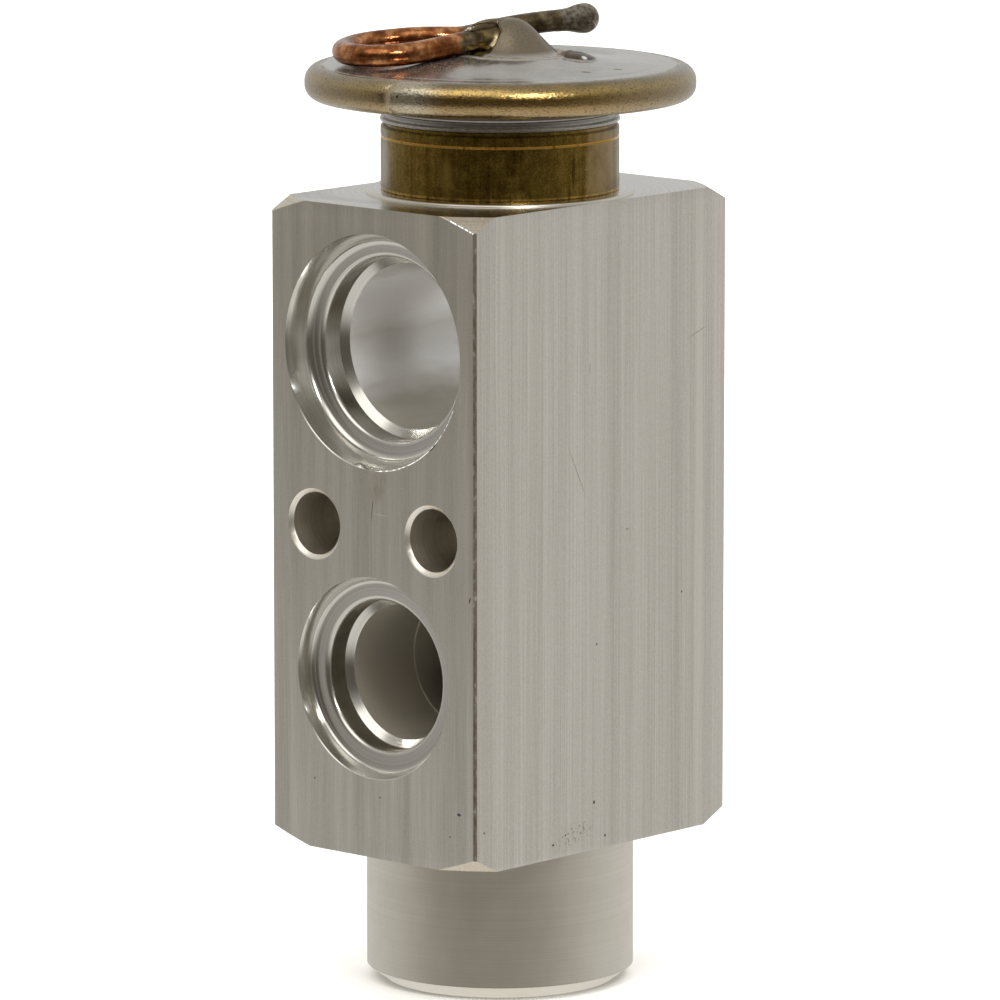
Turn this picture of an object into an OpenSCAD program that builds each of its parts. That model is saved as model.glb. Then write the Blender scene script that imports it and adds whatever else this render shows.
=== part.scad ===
// Block-type expansion valve: a drilled aluminium block with a welded diaphragm head on top.
// Origin: centre of the boss's underside, on the valve's upright axis. Z up, front ports towards -Y.

/* [Block] */
// Width of the block between its plain side faces
block_w = 29.5; // [29.2:0.1:33]
// Depth of the block between its port faces
block_d = 40.6; // [40.2:0.1:44]
// Height of the block above its boss
block_h = 70; // [69.5:0.5:76]
// Break along the upright edges
edge_break = 0.3; // [0.1:0.05:0.6]
// Radius where the turned corner breaks meet the top face
top_break_r = 22.6; // [22:0.1:23.2]
// Radius where the turned corner breaks meet the underside
low_break_r = 22.3; // [21.8:0.1:23]
// Slope of the turned corner breaks, from level
break_slope = 32; // [25:1:40]

/* [Bottom boss] */
// Radius of the boss
boss_r = 14.5; // [12:0.1:14.6]
// Height of the boss
boss_h = 15.9; // [14.5:0.1:18]
// Height of the chamfer round the boss's foot
boss_chamfer_h = 1.45; // [0.5:0.05:2]
// Width of the chamfer round the boss's foot
boss_chamfer_w = 1.95; // [0.5:0.05:2.5]

/* [Seat ring on the top face] */
// Radius of the raised ring that the collar sits on
seat_ring_r = 14.5; // [13.4:0.1:14.6]
// Height of the raised ring
seat_ring_h = 0.3; // [0.1:0.05:0.6]

/* [Port heights, from the block's underside] */
// Height of the suction passage
suction_up = 54.6; // [54:0.1:55.4]
// Height of the two bolt holes
bolt_up = 35.3; // [34.8:0.1:35.8]
// Height of the front inlet port
inlet_up = 19.5; // [19:0.1:19.8]
// Height of the rear outlet port
outlet_up = 22.3; // [21.8:0.1:22.6]

/* [Suction ports] */
// Radius of the suction port at the face
suction_entry_r = 12.64; // [12:0.02:12.9]
// Depth of the suction port's floor
suction_floor = 3; // [2.4:0.1:3.4]
// Radius of the sealing wall
suction_seat_r = 9.86; // [9.6:0.02:10.2]
// Depth where the sealing wall ends
suction_seat_depth = 5.6; // [5:0.1:6.4]
// Radius of the suction bore
suction_bore_r = 8.95; // [8.4:0.05:9.1]

/* [Inlet and outlet ports] */
// Radius of the inlet port at the face
inlet_entry_r = 10.9; // [10.2:0.05:11.2]
// Radius of the inlet's sealing wall
inlet_seat_r = 8.14; // [7.9:0.02:8.6]
// Radius of the inlet bore
inlet_bore_r = 7.32; // [6.8:0.02:7.4]
// Depth of the inlet bore's finished part
inlet_bore_depth = 14.4; // [12:0.1:14.8]
// Radius of the outlet port at the face
outlet_entry_r = 10; // [9.4:0.05:10.2]
// Radius of the outlet's sealing wall
outlet_seat_r = 7.6; // [7.3:0.02:7.9]
// Radius of the outlet bore
outlet_bore_r = 6.9; // [6.4:0.05:7.1]
// Depth of the outlet bore
outlet_bore_depth = 9; // [8.4:0.1:9.4]
// Depth of the floor in the inlet and outlet ports
small_floor = 1.8; // [1.4:0.1:2.2]
// Depth where the sealing walls of the inlet and outlet end
small_seat_depth = 4.4; // [3.8:0.1:4.8]

/* [Port edges] */
// Taper of every port's mouth
port_taper = 18; // [12:1:22]
// Rounded edge between a port's floor and its sealing wall
port_lip_r = 0.6; // [0.3:0.05:0.7]
// Height of the cone from the sealing wall down to the bore
port_step = 0.6; // [0.3:0.05:0.9]

/* [Bolt holes] */
// Radius of the two through holes
bolt_r = 3.4; // [3.2:0.05:3.5]
// Distance between the two through holes
bolt_spacing = 16.9; // [16.6:0.1:17.6]
// Chamfer round the through holes
bolt_chamfer = 0.42; // [0.2:0.02:0.6]

/* [Valve seat and spring chamber] */
// Radius of the spring chamber
chamber_r = 6; // [5.8:0.05:6.2]
// Radius of the orifice
orifice_r = 2.2; // [1.9:0.05:2.4]
// Length of the orifice
orifice_h = 2.4; // [2.2:0.1:2.8]
// Height of the orifice's lower edge above the inlet's centre
orifice_up = 8.8; // [8.6:0.1:9.1]
// Radius of the small chamber over the orifice
outlet_chamber_r = 3.2; // [2.9:0.05:3.4]
// Height of the small chamber over the orifice
outlet_chamber_h = 4.9; // [4.5:0.1:5.2]
// Radius of the slanted passage to the outlet
passage_r = 2.5; // [2.1:0.05:2.6]
// Drop of the passage's start below the small chamber's top
passage_down = 1.7; // [1.4:0.1:2.2]
// Rise of the passage's end over the outlet's centre
passage_up = 2.9; // [2.4:0.1:3.4]
// Height where the thread in the boss ends
thread_h = 14; // [13.6:0.1:15]
// Chamfer at the thread's mouth
mouth_chamfer = 0.6; // [0.3:0.1:1]

/* [Pin seal] */
// Radius of the pin seal's section
seal_r = 0.9; // [0.8:0.02:0.96]
// Depth of the seal's pocket below the suction passage
pocket_depth = 4.15; // [3.6:0.05:5]
// Thickness of the ring that holds the seal
retainer_h = 1.4; // [1:0.1:1.6]
// Gap between the pin and that ring
retainer_gap = 0.35; // [0.2:0.05:0.5]

/* [Stem] */
// Radius of the valve ball
ball_r = 3.6; // [3.2:0.05:3.8]
// Lift of the ball off its seat as shown
lift_rest = 0.25; // [0.22:0.01:0.4]
// Radius of the push pin
pin_r = 1.2; // [1:0.05:1.4]
// Radius of the sensing rod
rod_r = 3.2; // [2.8:0.05:3.4]
// Depth of the pin's socket in the sensing rod
pin_socket_h = 2.8; // [2:0.1:4]
// Gap between the sensing rod and its hole
rod_gap = 1; // [0.8:0.05:1.2]
// Radius of the rod's tip in the diaphragm pad
rod_tip_r = 2; // [1.5:0.1:2.6]
// Length of the rod's tip in the diaphragm pad
rod_tip_h = 1; // [0.6:0.1:1.3]
// Gap between the sensing rod's foot and the suction bore
rod_foot_gap = 1.2; // [1:0.05:1.6]
// Room round the diaphragm pad inside the neck
pad_room = 1; // [0.6:0.05:1.6]
// Thickness of the diaphragm pad
pad_h = 1.75; // [1.4:0.05:1.8]
// Gap between the diaphragm and its pad
pad_gap = 0.05; // [0.03:0.01:0.1]
// Radius of the ball carrier's flange
carrier_r = 5.4; // [5.2:0.05:5.5]
// Thickness of the ball carrier's flange
carrier_flange_h = 1.7; // [1.2:0.1:2]
// Radius of the ball carrier's cup
carrier_cup_r = 3.5; // [3.3:0.05:3.9]
// Height of the ball carrier's cup
cup_h = 3.2; // [2.8:0.1:3.5]
// Distance of the cup's rim below the ball's centre
cup_drop = 1.65; // [1.4:0.05:2]
// Length of the ball carrier's pilot inside the spring
pilot_h = 3; // [2:0.1:4]
// Gap between the pilot and the spring
pilot_gap = 0.25; // [0.15:0.05:0.4]

/* [Spring and adjusting screw] */
// Radius of the spring's wire
wire_r = 0.6; // [0.4:0.05:0.65]
// Radius of the spring to the middle of its wire
spring_r = 4.5; // [4.4:0.05:4.6]
// Number of turns of the spring
spring_turns = 7; // [5:1:8]
// Radius of the adjusting screw's thread
screw_r = 6.94; // [6.6:0.02:7.2]
// Length of the adjusting screw
screw_h = 9.4; // [9:0.1:10.4]
// Depth of the adjusting screw inside the boss
screw_inset = 2.2; // [1.4:0.1:2.6]
// Width across the flats of the screw's hex socket
hex_af = 7; // [6.6:0.1:7.4]
// Depth of the hex socket
hex_depth = 5; // [4.5:0.1:5.4]
// Radius of the screw seal's section
screw_seal_r = 0.83; // [0.7:0.01:0.9]
// Room for the screw seal in its groove, along the screw
groove_slack = 0.34; // [0.2:0.02:0.5]
// Length of the land over the screw's groove
screw_land_h = 1; // [0.8:0.1:1.4]
// Length of the spigot that centres the spring
screw_spigot_h = 1.5; // [1:0.1:2.4]
// Gap between the spigot and the spring
spigot_gap = 0.6; // [0.3:0.05:0.8]

/* [Collar] */
// Radius of the collar
collar_r = 12.82; // [12.5:0.02:13]
// Height of the collar above its seat ring
collar_h = 6.95; // [6.6:0.05:7.6]
// Radius of the collar's threaded stub
stub_r = 10; // [9.6:0.05:10.2]
// Length of the collar's threaded stub
stub_h = 5.3; // [4.9:0.05:5.4]
// Distance of the fine groove from the collar's top
collar_groove_down = 1.17; // [0.8:0.01:2]
// Depth of that groove
collar_groove_d = 0.12; // [0.05:0.01:0.2]
// Radius of the hollow in the collar's stub
collar_hollow_r = 6.5; // [6:0.1:7.4]
// Thickness of the collar's web
collar_web_h = 4; // [3.4:0.1:4.6]
// Radius of the head seal's section
head_seal_r = 0.8; // [0.7:0.02:0.86]
// Depth of the head seal below the top face
head_seal_down = 1; // [0.9:0.02:1.3]
// Height of the dark joint over the collar
joint_gap_h = 0.35; // [0.2:0.05:0.5]
// How far the bright ring stands out over the collar
neck_ring_over = 0.08; // [-0.1:0.02:0.3]
// Height of the bright ring over the collar
neck_ring_h = 0.6; // [0.4:0.05:0.8]

/* [Power head] */
// Radius of the head over its weld
head_r = 21.1; // [20.6:0.05:22]
// Height of the rim
rim_h = 3.7; // [3.4:0.05:4.2]
// Rounding at the rim's top
rim_top_round = 1.8; // [1.6:0.05:1.9]
// Rounding under the rim
rim_low_round = 1.5; // [1.3:0.05:1.55]
// Height of the neck between the bright ring and the head
neck_h = 1.8; // [1.7:0.05:2.4]
// How far the lower shell's neck stands in from the collar
neck_in = 0.37; // [0.2:0.01:0.6]
// Wall of the lower shell's neck
neck_wall = 1.25; // [1:0.05:1.4]
// Thickness of the lower shell's flange
flange_h = 1.5; // [1.4:0.05:1.7]
// Wall of the upper shell
shell_wall = 1.2; // [0.9:0.05:1.3]
// Rise of the upper shell towards its middle
crown_h = 1.15; // [0.9:0.05:1.4]
// Radius of the faint step in the upper shell
step_r = 16.9; // [16.4:0.1:17.6]
// Height of the faint step's foot over the rim
step_z = 0.12; // [0.06:0.01:0.2]
// Height of the faint step
step_h = 0.08; // [0.04:0.01:0.12]
// Radius inside which the shells part round the diaphragm
land_r = 15.6; // [15.2:0.1:16]
// Height of the diaphragm's waves
wave_h = 0.22; // [0.1:0.02:0.3]
// Thickness of the diaphragm
diaphragm_h = 0.15; // [0.1:0.01:0.2]
// Height of the dome in the middle, above the rim
dome_h = 5; // [4.8:0.05:5.4]
// Radius of the dome's foot
dome_r = 5.9; // [5.6:0.05:6.4]
// Distance of the dome from the middle
dome_shift = 1.2; // [0.8:0.1:1.6]
// Direction of that shift, and of the charge tube's route
dome_turn = 42; // [40:1:44]
// Radius of the hood on the dome that the charge tube enters
hood_r = 2.2; // [2:0.05:2.3]
// Length of the hood from the dome's middle
hood_h = 3.7; // [3.4:0.05:4]
// Length of the braze collar round the charge tube
braze_h = 0.95; // [0.7:0.05:1.3]
// Radius of the charge tube
tube_r = 1.2; // [1:0.02:1.3]
// Radius of the charge tube's bore
tube_bore_r = 0.55; // [0.4:0.05:0.7]
// Radius of the solder ball on the tube's sealed end
tip_r = 1.66; // [1.5:0.02:1.8]
// Distance of the solder ball's centre beyond the tube's end
tip_out = 1; // [0.8:0.05:1.1]

/* [Clearances] */
// Radial clearance of a sliding or turning fit
running = 0.05; // [0.03:0.01:0.08]
// Clearance where a piece is pushed or screwed home and stays
seated = 0.02; // [0.01:0.005:0.04]
// Gap round the charge tube that braze and solder fill
braze_gap = 0.06; // [0.05:0.01:0.1]

/* [Hidden] */
$fn = 96;

block_z0 = boss_h;
block_z1 = boss_h + block_h;
seat_z = block_z1 + seat_ring_h;
suction_z = block_z0 + suction_up;
bolt_z = block_z0 + bolt_up;
inlet_z = block_z0 + inlet_up;
outlet_z = block_z0 + outlet_up;
face_y = block_d / 2;
inlet_run_step = 0.2;
inlet_run_past = 2;
reach = 3;

// Valve seat: one 45 degree cone from the chamber's wall up to the orifice
orifice_z = inlet_z + orifice_up;
seat_cone_h = chamber_r - orifice_r;
outlet_chamber_z0 = orifice_z + orifice_h;
outlet_chamber_z1 = outlet_chamber_z0 + outlet_chamber_h;
ball_touch = ball_r * cos(45);
ball_shut_z = orifice_z - (ball_touch - orifice_r) - ball_touch;
ball_z = ball_shut_z - lift_rest;

// Seal pocket in the floor of the suction passage
pin_hole_r = pin_r + running;
pocket_r = pin_hole_r + 2 * seal_r + running;
suction_floor_z = suction_z - suction_bore_r;
pocket_z0 = suction_floor_z - pocket_depth;
seal_z = pocket_z0 + seal_r + seated;

// Thread bore and adjusting screw
thread_r = screw_r + running;
screw_z0 = screw_inset;
screw_z1 = screw_z0 + screw_h;
screw_groove_r = thread_r - running - 2 * screw_seal_r - running;
screw_groove_h = 2 * screw_seal_r + groove_slack;
screw_groove_z = screw_z1 - screw_land_h - screw_groove_h;
screw_spigot_r = spring_r - wire_r - spigot_gap;

// Ball carrier and spring
carrier_flange_z = ball_z - cup_drop - cup_h - carrier_flange_h;
carrier_cup_z1 = carrier_flange_z + carrier_flange_h + cup_h;
spring_z0 = screw_z1 + wire_r + seated;
spring_z1 = carrier_flange_z - wire_r - seated;

// Collar and head seal
collar_z1 = seat_z + collar_h;
head_seal_mid_r = stub_r + running + head_seal_r;
head_seal_pocket_r = head_seal_mid_r + head_seal_r + 2 * running;
head_seal_z = block_z1 - head_seal_down;
stub_bore_r = stub_r + seated;
stub_floor_gap = 0.3;
stub_floor_z = seat_z - stub_h - stub_floor_gap;
rod_hole_r = rod_r + rod_gap;
neck_ring_r = collar_r + neck_ring_over;
ring_z0 = collar_z1 + joint_gap_h;
ring_z1 = ring_z0 + neck_ring_h;

// Power head
head_z0 = ring_z1 + neck_h;
rim_z = head_z0 + rim_h;
shell_r = head_r - rim_top_round;
flange_z1 = head_z0 + flange_h;
diaphragm_z1 = flange_z1 + diaphragm_h;
neck_r = collar_r - neck_in;
neck_inner_r = neck_r - neck_wall;
spigot_r = neck_inner_r - seated;
pad_r = neck_inner_r - pad_room;
pad_z1 = flange_z1 - pad_gap;
pad_z0 = pad_z1 - pad_h;
// Profiles of the crown and the dome, as shares of their own radius and height
crown_form = [[0.8, 0.16], [0.59, 0.47], [0.41, 0.79], [0, 1]];
dome_form = [[0.9, 0.05], [0.68, 0.3], [0.49, 0.56], [0.32, 0.8], [0.15, 0.96], [0, 1]];
dome_at = [dome_shift * cos(dome_turn), dome_shift * sin(dome_turn)];

// Sensing rod and pin
rod_wall_z = suction_z - sqrt(pow(suction_bore_r, 2) - pow(rod_r, 2));
rod_z0 = rod_wall_z + rod_foot_gap;
pin_z1 = rod_z0 + pin_socket_h;

// Route of the charge tube: right, back and height over the rim, in the turned directions of the dome
tube_route = [
    [-0.9, -0.6, 2.93], [-4.2, -2.75, 2.46], [-7.5, -4.95, 1.99], [-10.2, -6.6, 1.72],
    [-13, -6.9, 1.56], [-15.6, -5.1, 1.5], [-16.75, -2.1, 1.5], [-16.2, 1, 1.62],
    [-14.3, 3.4, 1.85], [-11.6, 4.6, 2.12], [-8.9, 4.8, 2.4], [-6.4, 4.9, 2.5],
    [-4.1, 5.5, 2.42], [-1.6, 6.5, 2.75], [0.9, 7.6, 3.1], [4.5, 9.9, 3.4], [8.3, 12.4, 3.5]
];
tube_steps = 4;
tube_sides = 12;

function turned(p) = [
    p[0] * cos(dome_turn) - p[1] * sin(dome_turn),
    p[0] * sin(dome_turn) + p[1] * cos(dome_turn),
    rim_z + p[2]
];
function unit(v) = v / norm(v);
function arc(cx, cy, r, from, to, n) = [
    for (i = [0:n]) let (a = from + (to - from) * i / n) [cx + r * cos(a), cy + r * sin(a)]
];
// Point at t between b and c on a smooth curve through a, b, c and d
function smooth(a, b, c, d, t) = 0.5 * (
    2 * b + (c - a) * t + (2 * a - 5 * b + 4 * c - d) * t * t + (3 * b - a - 3 * c + d) * t * t * t
);
function curve(p, steps) = let (last = len(p) - 1) concat(
    [for (i = [0:last - 1]) for (k = [0:steps - 1])
        smooth(p[max(i - 1, 0)], p[i], p[i + 1], p[min(i + 2, last)], k / steps)],
    [p[last]]
);

// A round rod swept along a line of points that never runs upright
module sweep(line, r, sides) {
    last = len(line) - 1;
    rings = [
        for (i = [0:last])
            let (
                along = unit(line[min(i + 1, last)] - line[max(i - 1, 0)]),
                side = unit(cross([0, 0, 1], along)),
                up = cross(along, side)
            )
            for (k = [0:sides - 1])
                line[i] + r * (cos(360 * k / sides) * side + sin(360 * k / sides) * up)
    ];
    walls = [
        for (i = [0:last - 1]) for (k = [0:sides - 1])
            let (a = i * sides + k, b = i * sides + (k + 1) % sides)
            [a, a + sides, b + sides, b]
    ];
    ends = [
        [for (k = [0:sides - 1]) k],
        [for (k = [sides - 1:-1:0]) last * sides + k]
    ];
    polyhedron(points = rings, faces = concat(walls, ends));
}

// A cut for one port: tapered mouth, rounded floor, sealing wall, cone and bore, along +Z from the face
module port_cut(entry_r, floor_d, seat_r, seat_d, bore_r, bore_d) {
    root_r = 0.3 * floor_d;
    wall_d = floor_d - root_r;
    wall_r = entry_r - wall_d * tan(port_taper);
    rotate_extrude()
        polygon(concat(
            [[0, -reach], [entry_r, -reach], [entry_r, 0]],
            arc(wall_r - root_r, wall_d, root_r, 0, 90, 6),
            arc(seat_r + port_lip_r, floor_d + port_lip_r, port_lip_r, 270, 180, 6),
            [[seat_r, seat_d], [bore_r, seat_d + port_step], [bore_r, bore_d], [0, bore_d]]
        ));
}

module front_face(z) {
    translate([0, -face_y, z])
        rotate([-90, 0, 0])
            children();
}

module rear_face(z) {
    translate([0, face_y, z])
        rotate([90, 0, 0])
            children();
}

module ring(mid_r, r, z) {
    translate([0, 0, z])
        rotate_extrude()
            translate([mid_r, 0])
                circle(r = r, $fn = 32);
}

module block_body() {
    e = edge_break;
    w = block_w / 2;
    d = face_y;
    translate([0, 0, block_z0])
        linear_extrude(block_h)
            polygon([
                [w - e, -d], [w, -d + e], [w, d - e], [w - e, d],
                [-w + e, d], [-w, d - e], [-w, -d + e], [-w + e, -d]
            ]);
    rotate_extrude()
        polygon([
            [0, 0], [boss_r - boss_chamfer_w, 0], [boss_r, boss_chamfer_h],
            [boss_r, block_z0 + 1], [0, block_z0 + 1]
        ]);
    round_r = seat_ring_h;
    translate([0, 0, block_z1])
        rotate_extrude()
            polygon(concat(
                [[0, -1], [seat_ring_r, -1]],
                arc(seat_ring_r - round_r, 0, round_r, 0, 90, 5),
                [[0, seat_ring_h]]
            ));
}

// The turned cones that break the block's eight corners
module corner_breaks() {
    far_r = norm([block_w / 2, face_y]) + reach;
    top_drop = (far_r - top_break_r) * tan(break_slope);
    low_rise = (far_r - low_break_r) * tan(break_slope);
    rotate_extrude()
        polygon([[top_break_r, block_z1], [far_r, block_z1 - top_drop], [far_r, block_z1]]);
    rotate_extrude()
        polygon([[low_break_r, block_z0], [far_r, block_z0 + low_rise], [far_r, block_z0]]);
}

module bolt_cut(x) {
    translate([x, 0, bolt_z])
        rotate([90, 0, 0])
            rotate_extrude()
                polygon([
                    [0, -face_y - reach], [bolt_r + bolt_chamfer + reach, -face_y - reach],
                    [bolt_r, -face_y + bolt_chamfer], [bolt_r, face_y - bolt_chamfer],
                    [bolt_r + bolt_chamfer + reach, face_y + reach], [0, face_y + reach]
                ]);
}

// Everything drilled along the valve's axis, from the boss's mouth to the head's thread
module axis_cut() {
    rotate_extrude()
        polygon([
            [0, -reach], [thread_r + mouth_chamfer + reach, -reach], [thread_r, mouth_chamfer],
            [thread_r, thread_h], [chamber_r, thread_h + 1], [chamber_r, orifice_z - seat_cone_h],
            [orifice_r, orifice_z], [orifice_r, outlet_chamber_z0], [outlet_chamber_r, outlet_chamber_z0],
            [outlet_chamber_r, outlet_chamber_z1], [pin_hole_r, outlet_chamber_z1],
            [pin_hole_r, pocket_z0], [pocket_r, pocket_z0], [pocket_r, suction_floor_z + 1],
            [0, suction_floor_z + 1]
        ]);
    translate([0, 0, suction_z])
        cylinder(r = rod_hole_r, h = block_z1 - suction_z);
    translate([0, 0, stub_floor_z])
        cylinder(r = stub_bore_r, h = reach + block_z1 - stub_floor_z);
    translate([0, 0, head_seal_z - head_seal_r - seated])
        cylinder(r = head_seal_pocket_r, h = reach + head_seal_r);
}

// The slanted passage from the chamber over the orifice down to the outlet's blind end
module slanted_passage() {
    top = [0, 0, outlet_chamber_z1 - passage_down];
    low = [0, face_y - outlet_bore_depth + 1, outlet_z + passage_up];
    run = low - top;
    translate(top)
        rotate([-90 - atan2(run[2], run[1]), 0, 0])
            cylinder(r = passage_r, h = norm(run));
}

module valve_block() {
    color("#a09b91")
        difference() {
            block_body();
            corner_breaks();
            front_face(suction_z)
                port_cut(suction_entry_r, suction_floor, suction_seat_r, suction_seat_depth,
                    suction_bore_r, face_y);
            rear_face(suction_z)
                port_cut(suction_entry_r, suction_floor, suction_seat_r, suction_seat_depth,
                    suction_bore_r, face_y);
            front_face(inlet_z)
                port_cut(inlet_entry_r, small_floor, inlet_seat_r, small_seat_depth,
                    inlet_bore_r, inlet_bore_depth);
            front_face(inlet_z)
                cylinder(r = inlet_bore_r - inlet_run_step, h = face_y + inlet_run_past);
            rear_face(outlet_z)
                port_cut(outlet_entry_r, small_floor, outlet_seat_r, small_seat_depth,
                    outlet_bore_r, outlet_bore_depth);
            bolt_cut(bolt_spacing / 2);
            bolt_cut(-bolt_spacing / 2);
            axis_cut();
            slanted_passage();
        }
}

// Threaded brass collar: stub into the block, flange on the seat ring, web under the head
module neck_collar() {
    groove_z = collar_z1 - collar_groove_down;
    lip = 0.15;
    edge = 0.4;
    web_slope = 1;
    spigot_up = 0.5;
    joint_r = neck_r - 0.05;
    web_z0 = collar_z1 - collar_web_h;
    color("#6b5426")
        rotate_extrude()
            polygon([
                [collar_hollow_r, seat_z - stub_h], [stub_r - edge, seat_z - stub_h],
                [stub_r, seat_z - stub_h + edge], [stub_r, seat_z], [collar_r - lip, seat_z],
                [collar_r, seat_z + lip], [collar_r, groove_z - lip],
                [collar_r - collar_groove_d, groove_z], [collar_r, groove_z + lip],
                [collar_r, collar_z1 - lip], [collar_r - lip, collar_z1],
                [joint_r, collar_z1], [joint_r, ring_z0], [spigot_r, ring_z0],
                [spigot_r, ring_z1 + spigot_up], [rod_hole_r, ring_z1 + spigot_up],
                [rod_hole_r, web_z0], [collar_hollow_r, web_z0 - web_slope]
            ]);
}

module head_seal() {
    color("#26262a")
        ring(head_seal_mid_r, head_seal_r, head_seal_z);
}

module neck_ring() {
    soft = 0.2;
    color("#c9c9c6")
        rotate_extrude()
            polygon([
                [spigot_r + seated, ring_z0], [neck_ring_r - soft, ring_z0], [neck_ring_r, ring_z0 + soft],
                [neck_ring_r, ring_z1 - soft], [neck_ring_r - soft, ring_z1], [spigot_r + seated, ring_z1]
            ]);
}

// Pressed lower shell: a short neck with one rolled bead, turned out into the flange
module lower_shell() {
    bead_up = 0.75;
    bead_r = 0.3;
    bead_z = ring_z1 + bead_up;
    fillet = 0.5;
    dish = 0.45;
    color("#a9a79f")
        rotate_extrude()
            polygon(concat(
                [[neck_inner_r, ring_z1], [neck_r, ring_z1], [neck_r, bead_z - bead_r]],
                arc(neck_r, bead_z, bead_r, -90, 90, 6),
                arc(neck_r + fillet, head_z0 - fillet, fillet, 180, 90, 5),
                [
                    [shell_r, head_z0], [shell_r, flange_z1], [land_r, flange_z1],
                    [land_r - dish, flange_z1 - dish], [neck_inner_r + dish, flange_z1 - dish],
                    [neck_inner_r, flange_z1 - 2 * dish]
                ]
            ));
}

// Thin disc with two rolled waves, held at its edge between the shells
module diaphragm() {
    wave_gap = 0.4;
    wave_r0 = pad_r + wave_gap;
    wave_r1 = land_r - wave_gap;
    steps = 24;
    waves = [
        for (i = [0:steps])
            [wave_r0 + (wave_r1 - wave_r0) * i / steps, flange_z1 + wave_h * sin(720 * i / steps)]
    ];
    low = concat([[0, flange_z1]], waves, [[shell_r, flange_z1]]);
    top = [for (i = [len(low) - 1:-1:0]) low[i] + [0, diaphragm_h]];
    color("#b5b5b2")
        rotate_extrude()
            polygon(concat(low, top));
}

// The charge tube's way into the dome, along +Z
module tube_entry() {
    run = turned(tube_route[1]) - turned(tube_route[0]);
    translate(turned(tube_route[0]))
        rotate([0, acos(run[2] / norm(run)), atan2(run[1], run[0])])
            children();
}

// Outside form of the upper shell: crowned disc, dome and hood
module shell_form() {
    step_soft = 0.2;
    step_top = step_z + step_h;
    land_run = 3;
    dome_z0 = crown_h - 0.15;
    dome_lap = 0.2;
    top_line = concat(
        [[shell_r, 0], [step_r + step_soft, step_z], [step_r - step_soft, step_top]],
        [for (p = crown_form) [step_r * p[0], step_top + (crown_h - step_top) * p[1]]]
    );
    dome_line = [for (p = dome_form) [dome_r * p[0], crown_h + (dome_h - crown_h) * p[1]]];
    translate([0, 0, rim_z])
        rotate_extrude()
            polygon(concat(
                [[0, -shell_wall], [land_r - land_run, -shell_wall],
                    [land_r, diaphragm_z1 - rim_z], [shell_r, diaphragm_z1 - rim_z]],
                top_line
            ));
    translate([dome_at[0], dome_at[1], rim_z])
        rotate_extrude()
            polygon(concat([[0, 0], [dome_r + dome_lap, 0], [dome_r, dome_z0]], dome_line));
    tube_entry()
        cylinder(r = hood_r, h = hood_h);
}

module upper_shell() {
    entry = turned(tube_route[0]);
    color("#b0aea8")
        difference() {
            shell_form();
            tube_entry()
                cylinder(r = tube_r + braze_gap, h = hood_h + reach);
            translate([entry[0], entry[1], diaphragm_z1])
                cylinder(r = tube_bore_r, h = entry[2] - diaphragm_z1);
        }
}

// The weld that closes the head all round
module rim_weld() {
    color("#8f8355")
        rotate_extrude()
            polygon(concat(
                [[shell_r, rim_z], [shell_r, head_z0]],
                arc(head_r - rim_low_round, head_z0 + rim_low_round, rim_low_round, 270, 360, 7),
                arc(head_r - rim_top_round, rim_z - rim_top_round, rim_top_round, 0, 90, 8)
            ));
}

module charge_tube() {
    line = curve([for (p = tube_route) turned(p)], tube_steps);
    color("#9a5a34")
        difference() {
            sweep(line, tube_r, tube_sides);
            sweep(line, tube_bore_r, 6);
        }
}

// Braze collar where the charge tube enters the hood, laid against the shell below
module socket_braze() {
    inner = tube_r + braze_gap;
    outer = hood_r - 0.2;
    soft = 0.2;
    color("#a08a58")
        difference() {
            tube_entry()
                rotate_extrude()
                    polygon([
                        [inner, hood_h + seated], [outer, hood_h + seated],
                        [outer - soft, hood_h + braze_h / 2], [inner + soft, hood_h + braze_h - soft / 4],
                        [inner, hood_h + braze_h]
                    ]);
            translate([0, 0, seated])
                shell_form();
        }
}

module tip_solder() {
    last = len(tube_route) - 1;
    end = turned(tube_route[last]);
    run = end - turned(tube_route[last - 1]);
    color("#8d8a84")
        translate(end)
            rotate([0, acos(run[2] / norm(run)), atan2(run[1], run[0])])
                difference() {
                    translate([0, 0, tip_out])
                        sphere(r = tip_r);
                    translate([0, 0, -reach])
                        cylinder(r = tube_r + braze_gap, h = reach + seated);
                }
}

module diaphragm_pad() {
    color("#c2a25a")
        difference() {
            translate([0, 0, pad_z0])
                cylinder(r = pad_r, h = pad_h);
            translate([0, 0, pad_z0])
                cylinder(r = rod_tip_r + seated, h = rod_tip_h + seated);
        }
}

// Rod that crosses the suction passage and carries the pad's weight and the pin's push
module sensing_rod() {
    color("#c9c7c0")
        difference() {
            union() {
                translate([0, 0, rod_z0])
                    cylinder(r = rod_r, h = pad_z0 - rod_z0);
                translate([0, 0, pad_z0])
                    cylinder(r = rod_tip_r, h = rod_tip_h);
            }
            translate([0, 0, rod_z0])
                cylinder(r = pin_r + seated, h = pin_socket_h);
        }
}

module push_pin() {
    pin_z0 = ball_z + ball_r;
    color("#d2d2cf")
        translate([0, 0, pin_z0])
            cylinder(r = pin_r, h = pin_z1 - pin_z0);
}

module pin_seal() {
    color("#26262a")
        ring(pin_hole_r + seal_r, seal_r, seal_z);
}

module seal_retainer() {
    z = seal_z + seal_r + seated;
    color("#c2a25a")
        translate([0, 0, z])
            difference() {
                cylinder(r = pocket_r - seated, h = retainer_h);
                translate([0, 0, -1])
                    cylinder(r = pin_r + retainer_gap, h = retainer_h + 2);
            }
}

module valve_ball() {
    color("#dededc")
        translate([0, 0, ball_z])
            sphere(r = ball_r);
}

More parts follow.
